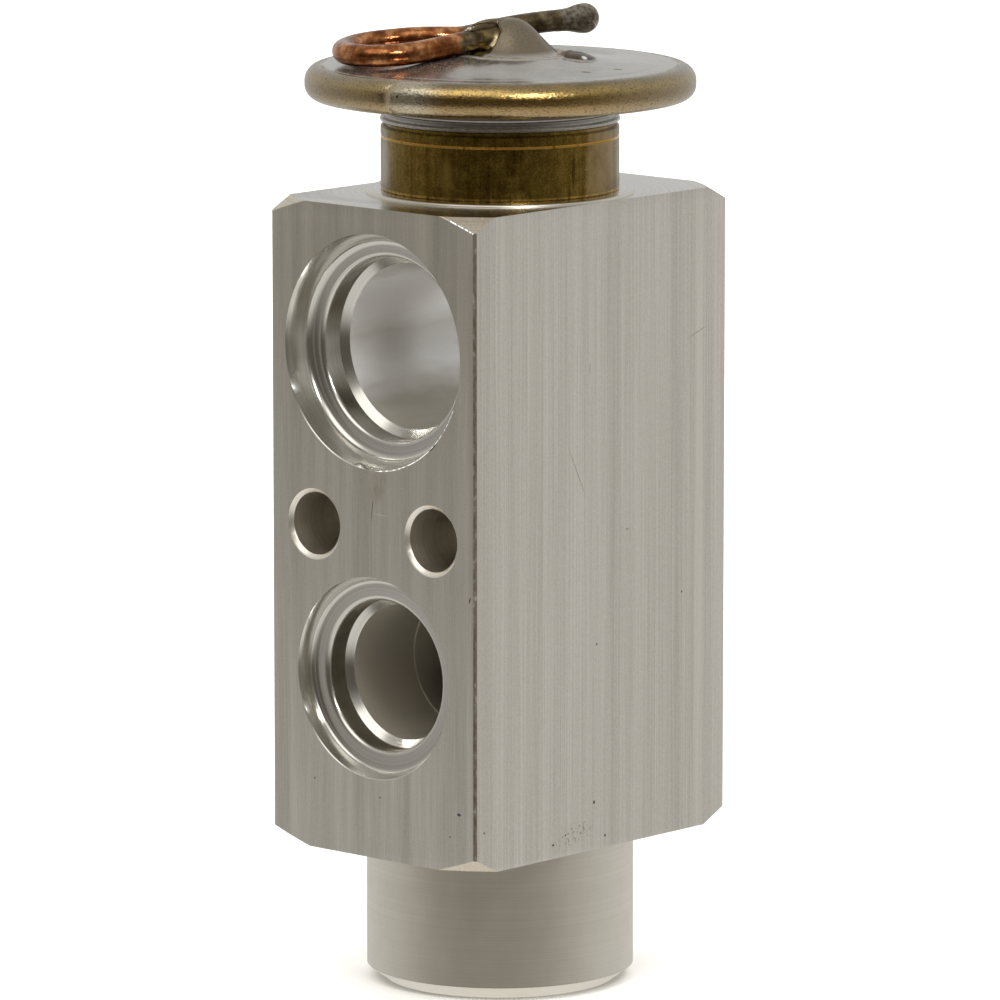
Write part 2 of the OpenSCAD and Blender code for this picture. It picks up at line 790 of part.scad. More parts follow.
module ball_carrier() {
    color("#b8b6ae")
        difference() {
            union() {
                translate([0, 0, carrier_flange_z - pilot_h])
                    cylinder(r = spring_r - wire_r - pilot_gap, h = pilot_h + carrier_flange_h);
                translate([0, 0, carrier_flange_z])
                    cylinder(r = carrier_r, h = carrier_flange_h);
                translate([0, 0, carrier_flange_z])
                    cylinder(r = carrier_cup_r, h = carrier_cup_z1 - carrier_flange_z);
            }
            translate([0, 0, ball_z])
                sphere(r = ball_r);
        }
}

// Closed coils at both ends, open coils between
module valve_spring() {
    per_turn = 12;
    n = spring_turns * per_turn;
    coil_gap = 0.14;
    tight = 2 * wire_r + coil_gap;
    free_turns = spring_turns - 2;
    open = (spring_z1 - spring_z0 - 2 * tight) / free_turns;
    line = [
        for (i = [0:n])
            let (
                t = i / per_turn,
                up = tight * min(t, 1) + open * min(max(t - 1, 0), free_turns)
                    + tight * max(t - 1 - free_turns, 0)
            )
            [spring_r * cos(360 * t), spring_r * sin(360 * t), spring_z0 + up]
    ];
    color("#8f8f8c")
        sweep(line, wire_r, 8);
}

module adjusting_screw() {
    edge = 0.4;
    color("#b9b7ae")
        difference() {
            rotate_extrude()
                polygon([
                    [0, screw_z0], [screw_r - edge, screw_z0], [screw_r, screw_z0 + edge],
                    [screw_r, screw_groove_z], [screw_groove_r, screw_groove_z],
                    [screw_groove_r, screw_groove_z + screw_groove_h],
                    [screw_r, screw_groove_z + screw_groove_h], [screw_r, screw_z1 - edge],
                    [screw_r - edge, screw_z1], [screw_spigot_r, screw_z1],
                    [screw_spigot_r, screw_z1 + screw_spigot_h - edge],
                    [screw_spigot_r - edge, screw_z1 + screw_spigot_h], [0, screw_z1 + screw_spigot_h]
                ]);
            translate([0, 0, screw_z0 - reach])
                cylinder(r = hex_af / 2 / cos(30), h = reach + hex_depth, $fn = 6);
        }
}

module screw_seal() {
    color("#26262a")
        ring(thread_r - running - screw_seal_r, screw_seal_r, screw_groove_z + screw_groove_h / 2);
}

valve_block();
neck_collar();
head_seal();
neck_ring();
lower_shell();
diaphragm();
upper_shell();
rim_weld();
charge_tube();
socket_braze();
tip_solder();
diaphragm_pad();
sensing_rod();
push_pin();
pin_seal();
seal_retainer();
valve_ball();
ball_carrier();
valve_spring();
adjusting_screw();
screw_seal();
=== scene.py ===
# %% [markdown]
# # An expansion valve, dressed in Blender
# The real object is a block-type expansion valve: a short bar of extruded aluminium, drilled
# and turned, with a brass collar and a welded steel head on top. The CAD model is loaded as a
# fixed frame. Here the pieces that show get finer shapes and the finishes of the real metals.

# %% Load the frame
import math

import bmesh
import bpy
from mathutils import Matrix, Vector


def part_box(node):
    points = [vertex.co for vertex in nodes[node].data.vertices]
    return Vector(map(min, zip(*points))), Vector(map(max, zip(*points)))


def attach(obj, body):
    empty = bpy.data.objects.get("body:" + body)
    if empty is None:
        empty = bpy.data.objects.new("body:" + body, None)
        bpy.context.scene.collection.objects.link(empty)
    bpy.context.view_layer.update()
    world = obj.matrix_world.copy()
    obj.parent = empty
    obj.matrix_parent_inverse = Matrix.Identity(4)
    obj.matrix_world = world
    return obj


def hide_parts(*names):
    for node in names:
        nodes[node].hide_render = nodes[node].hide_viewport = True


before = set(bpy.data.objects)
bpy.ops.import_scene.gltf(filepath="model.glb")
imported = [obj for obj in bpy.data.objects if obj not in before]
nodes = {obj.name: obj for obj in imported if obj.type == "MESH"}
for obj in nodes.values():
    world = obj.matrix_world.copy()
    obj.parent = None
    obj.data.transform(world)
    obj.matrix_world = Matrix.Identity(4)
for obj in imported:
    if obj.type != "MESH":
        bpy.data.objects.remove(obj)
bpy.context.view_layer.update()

MM = 0.001

# %% [markdown]
# ## Sizes
# Pieces are placed by the CAD model's own boxes where it has them: the block's top and sides and the head's rim are
# read from it. The heights of the foot, the ports and the bolt holes are given as numbers, as are the small forms
# that the CAD model leaves out.

# %% Heights and radii from the frame
block_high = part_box("valve_block")[1]
rim_low, rim_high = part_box("rim_weld")
boss_h = 15.9 * MM
seat_ring_h = 0.3 * MM
top_z = block_high.z - seat_ring_h
half_w = block_high.x
half_d = block_high.y
head_r = rim_high.x
rim_z = rim_high.z
head_z0 = rim_low.z
suction_z = boss_h + 54.6 * MM
bolt_z = boss_h + 35.3 * MM
inlet_z = boss_h + 19.5 * MM
bolt_x = 8.45 * MM
print("half width, half depth, top:", round(half_w, 5), round(half_d, 5), round(top_z, 5))
print("head radius, rim top:", round(head_r, 5), round(rim_z, 5))

# %% [markdown]
# ## Camera
# The photograph was taken with a long lens, a little above the valve and 42 degrees round from
# the port face. The camera was fitted to the outline, so it gives the same view. The head's
# forms are easiest to place as the camera sees them, so right and back are kept as directions.

# %% Camera at the photograph's angle
turn, rise = math.radians(42), math.radians(9.38)
right = Vector((math.cos(turn), math.sin(turn), 0))
back = Vector((-math.sin(turn), math.cos(turn), 0))
up = Vector((0, 0, 1))
toward_camera = up * math.sin(rise) - back * math.cos(rise)
aim = Vector((0, 0, 0.0522))
distance = 0.8915
camera = bpy.data.objects.new("camera", bpy.data.cameras.new("camera"))
bpy.context.scene.collection.objects.link(camera)
camera.data.sensor_width = 36
camera.data.lens = 297
camera.data.clip_end = 20
camera.location = aim + distance * toward_camera
camera.rotation_euler = (-toward_camera).to_track_quat("-Z", "Y").to_euler()
bpy.context.scene.camera = camera
print("camera at", [round(v, 4) for v in camera.location])


def on_head(to_right, to_back, over_rim):
    """A point in millimetres right, back and over the rim's top, as a place in metres."""
    return right * to_right * MM + back * to_back * MM + up * (rim_z + over_rim * MM)


# %% [markdown]
# ## Tools for materials
# Colours are picked as sRGB hex codes, as in a paint program, but Blender's shaders work in
# linear light, so one function turns them. One more adds a node with its settings and links,
# and a third starts a material: it is a metal unless it is told otherwise, and its place is
# counted in millimetres, so that grain and marks can be given in real sizes.

# %% Colour and node helpers
def linear(code):
    """Linear RGBA of an sRGB hex code such as a09b91."""
    parts = [int(code[i:i + 2], 16) / 255 for i in (0, 2, 4)]
    return [c / 12.92 if c <= 0.04045 else ((c + 0.055) / 1.055) ** 2.4 for c in parts] + [1.0]


def put(tree, kind, settings=None, sockets=None):
    """Adds a node. A socket's value is a number, a colour or another node's output."""
    made = tree.nodes.new(kind)
    for name, value in (settings or {}).items():
        if name == "stops":
            ramp = made.color_ramp
            while len(ramp.elements) < len(value):
                ramp.elements.new(0.5)
            for stop, (place, code) in zip(ramp.elements, value):
                stop.position = place
                stop.color = linear(code)
        else:
            setattr(made, name, value)
    for name, value in (sockets or {}).items():
        if isinstance(value, bpy.types.NodeSocket):
            tree.links.new(value, made.inputs[name])
        else:
            made.inputs[name].default_value = value
    return made


def metal(name, rough, metallic=1.0):
    """A new metal with its tree, its shader and the object coordinates in millimetres."""
    made = bpy.data.materials.new(name)
    made.use_nodes = True
    tree = made.node_tree
    shader = tree.nodes["Principled BSDF"]
    shader.inputs["Metallic"].default_value = metallic
    shader.inputs["Roughness"].default_value = rough
    print("material:", name)
    place = put(tree, "ShaderNodeTexCoord").outputs["Object"]
    place = put(tree, "ShaderNodeVectorMath", {"operation": "SCALE"}, {0: place, "Scale": 1000.0}).outputs[0]
    return made, tree, shader, place


print("linear mid grey:", [round(c, 3) for c in linear("808080")])

# %% [markdown]
# A surface's grain is a noise that is stretched along the tool's path. Its scale is worked out
# from the real spacing of the lines in millimetres. Round tools leave rings, so for turned
# places the noise reads the distance from the axis instead of the place itself. Real brush
# lines and turning rings are mostly finer than 0.1 mm. Here they are drawn coarser than real,
# 0.14 to 0.3 mm apart, because finer ones would vanish or flicker in a picture of this size.

# %% Grain and rings
def grain(tree, place, size, detail=2.0, seed=0.0):
    """Noise whose blobs are about size = (x, y, z) millimetres."""
    stretched = put(tree, "ShaderNodeMapping", None,
                    {"Vector": place, "Location": (seed, seed, seed), "Scale": [1 / s for s in size]})
    return put(tree, "ShaderNodeTexNoise", None,
               {"Vector": stretched.outputs[0], "Scale": 1.0, "Detail": detail, "Roughness": 0.6}).outputs["Fac"]


def round_place(tree, place, axis, centre=(0, 0, 0)):
    """Turns a place into (radius, 0, distance along the axis), for turned surfaces."""
    moved = put(tree, "ShaderNodeVectorMath", {"operation": "SUBTRACT"}, {0: place, 1: centre}).outputs[0]
    flat = put(tree, "ShaderNodeVectorMath", {"operation": "MULTIPLY"},
               {0: moved, 1: [0 if i == axis else 1 for i in range(3)]}).outputs[0]
    radius = put(tree, "ShaderNodeVectorMath", {"operation": "LENGTH"}, {0: flat}).outputs["Value"]
    along = put(tree, "ShaderNodeSeparateXYZ", None, {0: moved}).outputs[axis]
    return put(tree, "ShaderNodeCombineXYZ", None, {0: radius, 2: along}).outputs[0]


print("grain and rings are ready")

# %% [markdown]
# A noise puts its blobs anywhere, but the dents, scratches and pits of the real valve have a
# place. Each gets an ellipse there, which is 1 inside and fades to 0 at its edge. They could
# be painted on an image, but an ellipse needs no file and stays sharp from close by.

# %% Single marks
def mark(tree, place, centre, size, angle=(0, 0, 0), soft=0.4):
    """1 inside a small ellipse of size millimetres at centre, 0 outside, for one dent or scratch."""
    inside = put(tree, "ShaderNodeMapping", {"vector_type": "TEXTURE"},
                 {"Vector": place, "Location": centre, "Rotation": angle, "Scale": size}).outputs[0]
    far = put(tree, "ShaderNodeVectorMath", {"operation": "LENGTH"}, {0: inside}).outputs["Value"]
    return put(tree, "ShaderNodeMapRange", {"interpolation_type": "SMOOTHSTEP"},
               {"Value": far, "From Min": 1.0, "From Max": 1.0 - soft}).outputs[0]


def largest(tree, values):
    """The largest of several values, so that marks can lie over each other."""
    total = values[0]
    for value in values[1:]:
        total = put(tree, "ShaderNodeMath", {"operation": "MAXIMUM"}, {0: total, 1: value}).outputs[0]
    return total


print("single marks are ready")

# %% [markdown]
# A noise hardly ever leaves the range from 0.3 to 0.7. These tools stretch such a value to the
# range that is wanted, mix two colours by it, or turn it into fine relief. Relief could be cut
# into the mesh, but that is only worth it for what is seen at the outline.

# %% Ranges, blends and relief
def shift(tree, value, low, high, start=0.3, end=0.7, kind="LINEAR"):
    """Maps a value from start..end to low..high."""
    return put(tree, "ShaderNodeMapRange", {"interpolation_type": kind},
               {"Value": value, "From Min": start, "From Max": end, "To Min": low, "To Max": high}).outputs[0]


def blend(tree, amount, one, other, how="MIX"):
    """Mixes two colours, given as hex codes or as outputs."""
    pair = [linear(c) if isinstance(c, str) else c for c in (one, other)]
    return put(tree, "ShaderNodeMix", {"data_type": "RGBA", "blend_type": how},
               {"Factor": amount, 6: pair[0], 7: pair[1]}).outputs[2]


def bump(tree, shader, height, distance):
    """Gives the shader fine relief, distance in millimetres."""
    made = put(tree, "ShaderNodeBump", None, {"Height": height, "Distance": distance * MM, "Strength": 1.0})
    tree.links.new(made.outputs[0], shader.inputs["Normal"])


print("ranges, blends and relief are ready")

# %% [markdown]
# ## Light tent
# Polished metal shows its surroundings more than its own colour. The real tent was bright
# behind and beside the valve and dim where the camera looked in, which gives the turned foot
# its soft dark middle. A photographed tent could be wrapped round the scene, but a few smooth
# changes are enough and each can be set by itself: dim in front to bright behind, a lighter
# top, a pale side below, and a bright box high over the camera that glints on the dome, the
# tube and the weld. The camera itself sees plain white behind the valve.

# %% Light tent
world = bpy.data.worlds.new("tent")
bpy.context.scene.world = world
world.use_nodes = True
tree = world.node_tree
sky = put(tree, "ShaderNodeTexCoord").outputs["Generated"]


def along_sky(way):
    """1 where the sky lies straight along way, 0 beside it and -1 against it."""
    return put(tree, "ShaderNodeVectorMath", {"operation": "DOT_PRODUCT"}, {0: sky, 1: way}).outputs["Value"]


front, aside = along_sky(-back), along_sky(right)
toward = put(tree, "ShaderNodeMath", {"operation": "MULTIPLY_ADD"}, {0: aside, 1: -0.14, 2: front}).outputs[0]
tent = put(tree, "ShaderNodeValToRGB", {"stops": [
    (0.0, "d2d2d1"), (0.3, "c2c1bf"), (0.5, "b0aeab"), (0.68, "989590"), (0.8, "7b7670"), (0.93, "5d5851")]},
    {"Fac": shift(tree, toward, 0, 1, -1, 1)}).outputs[0]
level = put(tree, "ShaderNodeSeparateXYZ", None, {0: sky}).outputs["Z"]
tent = blend(tree, shift(tree, level, 0, 1, 0.25, 0.8, "SMOOTHSTEP"), tent, "cfcdc9")
tent = blend(tree, shift(tree, level, 0, 1, -0.15, -0.65, "SMOOTHSTEP"), tent, "e6e4e0")
over_camera = along_sky((0.82 * up - 0.47 * back - 0.32 * right).normalized())
box_light = shift(tree, over_camera, 0, 1, 0.89, 0.96, "SMOOTHSTEP")
box_colour = (1.1, 1.08, 1.03)
tent = put(tree, "ShaderNodeVectorMath", {"operation": "MULTIPLY_ADD"},
           {0: box_light, 1: box_colour, 2: tent}).outputs[0]
tent = blend(tree, put(tree, "ShaderNodeLightPath").outputs["Is Camera Ray"], tent, "ffffff")
tree.links.new(tent, tree.nodes["Background"].inputs["Color"])
bpy.context.scene.view_settings.view_transform = "Standard"
print("tent nodes:", len(tree.nodes))

# %% [markdown]
# ## Floor
# The valve stood on white paper. A large plain sheet does for it, a hair under the foot so
# that the two faces don't fight for the same place. It casts no shadow and the metal doesn't
# mirror it, so the tent's own pale side lights the foot from below, which is easier to set.

# %% Paper floor
plane = bmesh.new()
bmesh.ops.create_grid(plane, x_segments=1, y_segments=1, size=6)
floor_mesh = bpy.data.meshes.new("floor")
bmesh.ops.translate(plane, verts=plane.verts, vec=(0, 0, -0.05 * MM))
plane.to_mesh(floor_mesh)
plane.free()
floor = bpy.data.objects.new("floor", floor_mesh)
bpy.context.scene.collection.objects.link(floor)
# rough and almost white, so that the eye takes it for the empty ground of a product photo
paper, tree, shader, place = metal("pale_paper", 0.9, 0.0)
shader.inputs["Base Color"].default_value = linear("f6f5f2")
floor_mesh.materials.append(paper)
floor.visible_glossy = False
floor.visible_shadow = False

# %% [markdown]
# ## Lamps
# The tent's cloth spread the light, so the shadows are very soft. A sun as wide as most of the
# sky gives that light from above, and one small box over the camera adds a glow to the faces
# that it sees. More lamps could fill each dark spot, but each would leave a reflection.

# %% Ceiling and key box
def lamp(name, where, size, power):
    """A soft lamp that points at the valve."""
    light = bpy.data.lights.new(name, "AREA")
    light.shape = "RECTANGLE"
    light.size, light.size_y = size
    light.energy = power
    made = bpy.data.objects.new(name, light)
    bpy.context.scene.collection.objects.link(made)
    made.location = where
    made.rotation_euler = (Vector(where) - aim).to_track_quat("Z", "Y").to_euler()
    return made


ceiling = bpy.data.objects.new("ceiling", bpy.data.lights.new("ceiling", "SUN"))
bpy.context.scene.collection.objects.link(ceiling)
ceiling.data.energy = 3.3
ceiling.data.angle = math.radians(110)
ceiling.visible_glossy = False
key_way, key_distance, key_size = 0.3 * right - 0.78 * back + 0.62 * up, 0.8, 0.16
lamp("key_box", aim + key_distance * key_way, (key_size, key_size), 1.6)

# %% [markdown]
# ## A tool to finish a piece
# A finished piece keeps its place in its mesh, rides on the housing, and replaces the plainer
# CAD solid. Its faces shade smoothly, but for edges that are sharp on the real piece.

# %% Finish a piece
def piece(name, shape, materials, body, *stands_for, sharp=30, slot=None, creases=()):
    """Makes a finished object of a bmesh: smooth but for edges sharper than sharp degrees."""
    for edge in shape.edges:
        edge.smooth = edge.calc_face_angle(0) < math.radians(sharp)
    for edge in creases:
        edge.smooth = False
    for face in shape.faces:
        face.smooth = True
    mesh = bpy.data.meshes.new(name)
    shape.to_mesh(mesh)
    shape.free()
    for material in materials:
        mesh.materials.append(material)
    made = bpy.data.objects.new(name, mesh)
    bpy.context.scene.collection.objects.link(made)
    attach(made, body)
    if stands_for:
        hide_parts(*stands_for)
    print(name, "faces:", len(mesh.polygons))
    return made


print("a piece can be finished")

# %% [markdown]
# ## The block
# The block is sawn from an extruded bar of aluminium. Its narrow sides keep the die's long
# lines, the port faces are milled and brushed upright, and the foot, the ports and the corner
# cones are turned on a lathe. Its shape is the CAD solid's, so a copy of that mesh is taken.
# Real metal has no perfectly sharp edge, and the thin bright lines along the edges are what
# makes it look machined, so every sharp edge gets a bevel of about a tenth of a millimetre. A
# bevel shader could fake that, but a real strip of faces can have a finish of its own. The
# front corner was knocked, and keeps a bright facet of 0.7 mm.

# %% Block mesh with broken edges
block = bmesh.new()
block.from_mesh(nodes["valve_block"].data)
bmesh.ops.remove_doubles(block, verts=block.verts, dist=2e-6)
bmesh.ops.dissolve_limit(block, angle_limit=math.radians(0.3), verts=block.verts, edges=block.edges)


def bevel_edges(edges, width, segments):
    """Bevels edges of the block and gives back the new faces."""
    return bmesh.ops.bevel(block, geom=edges, offset=width, offset_type="OFFSET", segments=segments,
                           profile=0.5, affect="EDGES", clamp_overlap=True, material=-1)["faces"]


def sharp_edges(done):
    """The edges that meet at more than 24 degrees and touch none of the faces in done."""
    return [e for e in block.edges if e.is_manifold and e.calc_face_angle(0) > math.radians(24)
            and e.calc_length() > 0.12 * MM and not any(f in done for f in e.link_faces)]


def is_port_face(face):
    """Whether a face lies on the front or the back of the block, where the ports are."""
    return abs(face.normal.y) > 0.9 and abs(face.calc_center_median().y) > half_d - 0.05 * MM


corner = [e for e in block.edges if e.is_manifold and any(is_port_face(f) for f in e.link_faces)
          and any(0.3 < f.normal.z < 0.97 and f.calc_center_median().xy.length > 19 * MM for f in e.link_faces)]
front_edges = [e for e in corner if all(v.co.x > 0 and v.co.y < 0 and v.co.z > bolt_z for v in e.verts)]
knocked, corner_break, upright_break, fine_break = 0.7 * MM, 0.15 * MM, 0.12 * MM, 0.07 * MM
facets = set(bevel_edges(front_edges, knocked, 1))
facets |= set(bevel_edges([e for e in corner if e.is_valid and e not in set(front_edges)], corner_break, 1))
upright = [e for e in sharp_edges(facets) if e.calc_length() > 30 * MM]
print("corner facets:", len(corner), "upright edges:", len(upright))
broken = list(bevel_edges(upright, upright_break, 3))
broken += list(bevel_edges(sharp_edges(facets | set(broken)), fine_break, 2))
strips = {f for f in broken if f.is_valid} | {f for f in facets if f.is_valid}
print("new strips:", len(strips))

# %% [markdown]
# Each face was left by one tool, and each tool leaves its own finish. The faces could be
# picked by hand in the viewport, but a rule by where a face lies and which way it looks also
# works when the CAD model is changed. The rules run from the most special place to the most
# common one. Round bores shade smoothly, and only the strips of flat faces stay sharp.

# %% Which tool made each face
upright_strips = {f for f in block.faces if abs(f.calc_center_median().x) > half_w - 0.45 * MM
                  and abs(f.calc_center_median().y) > half_d - 0.45 * MM and f.calc_area() > 0.5 * MM * MM
                  and abs(f.normal.x) < 0.995 and abs(f.normal.y) < 0.995 and abs(f.normal.z) < 0.1}
PORT_FACE, SIDE, TOP, TURNED, PORT, CONE, BORE, BOLT, FRESH_CUT, EDGE = range(10)
tiny = 0.02 * MM
for face in block.faces:
    n, c = face.normal, face.calc_center_median()
    from_axis = math.hypot(c.x, c.y)
    front_corner = c.x > 0 and c.y < 0
    outward = (n.x * c.x + n.y * c.y) / max(from_axis, tiny)
    near_end = c.z > top_z - 3 * MM or c.z < boss_h + 3 * MM
    if face in facets and front_corner and c.z > bolt_z:
        face.material_index = FRESH_CUT
    elif face in upright_strips:
        face.material_index = EDGE
    elif abs(n.y) > 0.9 and abs(c.y) > half_d - tiny:
        face.material_index = PORT_FACE
    elif abs(n.x) > 0.9 and abs(c.x) > half_w - tiny:
        face.material_index = SIDE
    elif n.z > 0.9 and c.z > top_z - tiny:
        face.material_index = TOP
    elif c.z < boss_h - tiny or c.z > top_z:
        face.material_index = TURNED
    elif n.z < -0.9 and c.z < boss_h + tiny:
        face.material_index = TURNED
    elif from_axis > 20.5 * MM and near_end and abs(n.z) > 0.3 and outward > 0.25:
        face.material_index = CONE
    elif abs(c.x) > half_w - 0.5 * MM or (abs(c.y) > half_d - 0.35 * MM and abs(c.x) > half_w - 0.35 * MM):
        face.material_index = SIDE
    elif abs(c.z - bolt_z) < 4 * MM and abs(abs(c.x) - bolt_x) < 4 * MM:
        face.material_index = BOLT
    elif abs(c.y) > half_d - 6.3 * MM:
        face.material_index = PORT
    else:
        face.material_index = BORE
turned_inside = {PORT, BORE, BOLT}
kept_sharp = [e for e in block.edges if len({f in strips for f in e.link_faces}) > 1
              and not all(f.material_index in turned_inside for f in e.link_faces)]
print("block faces:", len(block.faces), "upright strips:", len(upright_strips), "sharp edges:", len(kept_sharp))

# %% [markdown]
# Aluminium's own colour is a light, slightly warm grey. What the eye takes for its colour is
# mostly how rough it is, so each tool's surface gets its own roughness and its own grain.
# The port faces were milled and then brushed upright, so their grain is long and fine, with
# some broader bands in it and a few specks.

# %% Aluminium, milled and brushed port face
# rough enough to look pale and even, with faint upright lines
port_face, tree, shader, place = metal("brushed_aluminium_port_face", 0.4)
lines = grain(tree, place, (0.16, 0.16, 9.0), 3.0)
bands = grain(tree, place, (1.6, 1.6, 60.0), 1.0, 7.0)
specks = grain(tree, place, (0.12, 0.12, 0.14), 1.0, 3.0)
cloud = grain(tree, place, (9.0, 9.0, 14.0), 2.0, 21.0)
tone = put(tree, "ShaderNodeMix", {"data_type": "FLOAT"}, {"Factor": 0.5, 2: lines, 3: bands}).outputs[0]
tone = put(tree, "ShaderNodeMix", {"data_type": "FLOAT"}, {"Factor": 0.3, 2: tone, 3: specks}).outputs[0]
colour = put(tree, "ShaderNodeValToRGB", {"stops": [(0.3, "c5c2b9"), (0.5, "dfdcd3"), (0.7, "f5f2eb")]},
             {"Fac": tone}).outputs[0]

# %% [markdown]
# A brown stain lies under the large port, a blue speck beside the small one, and a few dents and one light scratch
# catch the eye. Their places are read off the photograph. The whole face is also painted a little greyer towards its
# top, as painted shade.

# %% Marks on the port face
stain = put(tree, "ShaderNodeMath", {"operation": "MULTIPLY"},
            {0: mark(tree, place, (0.9, -half_d / MM, 56.2), (1.6, 2, 2.6), (0, 0.5, 0), 0.9),
             1: shift(tree, grain(tree, place, (0.5, 0.5, 0.8), 3.0, 5.0), 0.0, 0.55)}).outputs[0]
colour = blend(tree, stain, colour, "a39078")
speck = mark(tree, place, (12.44, -half_d / MM, 22.27), (0.42, 1, 0.24), (0, 0.1, 0), 0.8)
colour = blend(tree, speck, colour, "40506e")
dents = largest(tree, [
    mark(tree, place, (14.0, -half_d / MM, 45.5), (0.12, 1, 0.42), (0, 0.3, 0)),
    mark(tree, place, (8.85, -half_d / MM, 61.3), (0.1, 1, 0.85), (0, 0.75, 0)),
    mark(tree, place, (11.15, -half_d / MM, 19.7), (0.13, 1, 0.13)),
    mark(tree, place, (1.04, -half_d / MM, 22.6), (0.13, 1, 0.13)),
    mark(tree, place, (-8.5, -half_d / MM, 23.5), (0.12, 1, 0.14)),
    mark(tree, place, (0.0, -half_d / MM, 53.6), (0.06, 1, 1.5), (0, 0.12, 0)),
])
colour = blend(tree, dents, colour, "7a7064")
scratch = mark(tree, place, (1.2, -half_d / MM, 53.2), (1.3, 1, 0.05), (0, 0.05, 0))
colour = blend(tree, scratch, colour, "fffcf4")
# painted shade: the face is drawn a little greyer towards its top
height = put(tree, "ShaderNodeSeparateXYZ", None, {0: place}).outputs["Z"]
colour = blend(tree, shift(tree, height, 0, 1, 18, 72), colour, blend(tree, 1.0, colour, "dedbd6", "MULTIPLY"))
tree.links.new(colour, shader.inputs["Base Color"])
tree.links.new(shift(tree, cloud, 0.36, 0.44), shader.inputs["Roughness"])
bump(tree, shader, tone, 0.006)

# %% [markdown]
# The sides keep the extrusion die's lines: they run the whole height, some fine and some as
# broad as a few millimetres, and on them lie the small knocks and scratches of handling. A
# noise that is hardly stretched sideways and very long upright draws such lines by itself.

# %% Aluminium, extruded side
# like the port face, but broad soft bands tell the eye that it was drawn through a die
side, tree, shader, place = metal("extruded_aluminium_side", 0.42)
fine = grain(tree, place, (0.2, 0.2, 30.0), 3.0, 2.0)
broad = grain(tree, place, (2.6, 2.6, 400.0), 2.0, 12.0)
specks = grain(tree, place, (0.13, 0.13, 0.2), 1.0, 3.0)
tone = put(tree, "ShaderNodeMix", {"data_type": "FLOAT"}, {"Factor": 0.45, 2: fine, 3: broad}).outputs[0]
tone = put(tree, "ShaderNodeMix", {"data_type": "FLOAT"}, {"Factor": 0.25, 2: tone, 3: specks}).outputs[0]
colour = put(tree, "ShaderNodeValToRGB", {"stops": [(0.3, "c8c4bb"), (0.5, "e2ded5"), (0.7, "f8f4ed")]},
             {"Fac": tone}).outputs[0]

# %% [markdown]
# The widest of the die's lines, one light band, some scratches, pits and a patch of dirt near
# the foot lie where they are on the real side. No noise would put them there, so each is an
# ellipse of its own, and lines are ellipses that are longer than the block.

# %% Marks on the side
face_x = half_w / MM
die_lines = largest(tree, [
    mark(tree, place, (face_x, -9.7, 50.0), (1, 0.08, 60.0), (0, 0, 0), 0.9),
    mark(tree, place, (face_x, -4.8, 45.0), (1, 0.06, 60.0), (0, 0, 0), 0.9),
    mark(tree, place, (face_x, 8.6, 50.0), (1, 0.1, 60.0), (0, 0, 0), 0.9),
])
colour = blend(tree, put(tree, "ShaderNodeMath", {"operation": "MULTIPLY"}, {0: die_lines, 1: 0.35}).outputs[0],
               colour, "b0a898")
light_band = mark(tree, place, (face_x, 15.8, 50.0), (1, 1.1, 70.0), (0, 0, 0), 0.9)
colour = blend(tree, put(tree, "ShaderNodeMath", {"operation": "MULTIPLY"}, {0: light_band, 1: 0.5}).outputs[0],
               colour, "fbf7ee")
scratches = largest(tree, [
    mark(tree, place, (face_x, -4.1, 57.3), (1, 0.05, 3.9), (0.46, 0, 0)),
    mark(tree, place, (face_x, -2.07, 68.2), (1, 0.07, 0.75)),
    mark(tree, place, (face_x, 15.4, 70.3), (1, 0.05, 1.9), (-1.24, 0, 0)),
    mark(tree, place, (face_x, 4.0, 50.2), (1, 0.22, 0.14)),
])
colour = blend(tree, scratches, colour, "b3a999")
pits = largest(tree, [
    mark(tree, place, (face_x, y, z), (1, w, h)) for y, z, w, h in (
        (-1.3, 21.1, 0.2, 0.24), (-0.9, 38.3, 0.14, 0.16), (13.0, 42.2, 0.13, 0.15), (0.5, 17.2, 0.17, 0.2),
        (-7.9, 17.4, 0.2, 0.17), (-18.9, 20.4, 0.13, 0.14), (-5.9, 18.2, 0.12, 0.13))
])
dirt = put(tree, "ShaderNodeMath", {"operation": "MULTIPLY"},
           {0: mark(tree, place, (face_x, -4.5, 18.0), (1, 4.2, 1.6), (0.25, 0, 0), 0.9),
            1: shift(tree, grain(tree, place, (0.35, 0.35, 0.35), 4.0, 9.0), 0.0, 0.8, 0.52, 0.66)}).outputs[0]
colour = blend(tree, largest(tree, [pits, dirt]), colour, "6a6055")
tree.links.new(colour, shader.inputs["Base Color"])
bump(tree, shader, tone, 0.005)

# %% [markdown]
# The top was faced in a lathe: the tool went in towards the middle and left fine rings. Rings
# could be modelled as grooves, but they are a few thousandths of a millimetre deep, so a
# little relief in the shader shows them better.

# %% Aluminium, faced top
# smooth, so that a soft picture of the collar lies in it
top_face, tree, shader, place = metal("faced_aluminium_top", 0.22)
rings = grain(tree, round_place(tree, place, 2), (0.25, 9, 9), 2.0)
colour = blend(tree, shift(tree, rings, 0, 1), "cbc9c2", "dfdcd5")
tree.links.new(colour, shader.inputs["Base Color"])
bump(tree, shader, rings, 0.002)

# %% [markdown]
# The foot is the end of the bar, turned round. It is a plain cylinder, so it mirrors the
# tent as one soft upright band of light and dark. A low relief is enough, as more of it
# would break up that band.

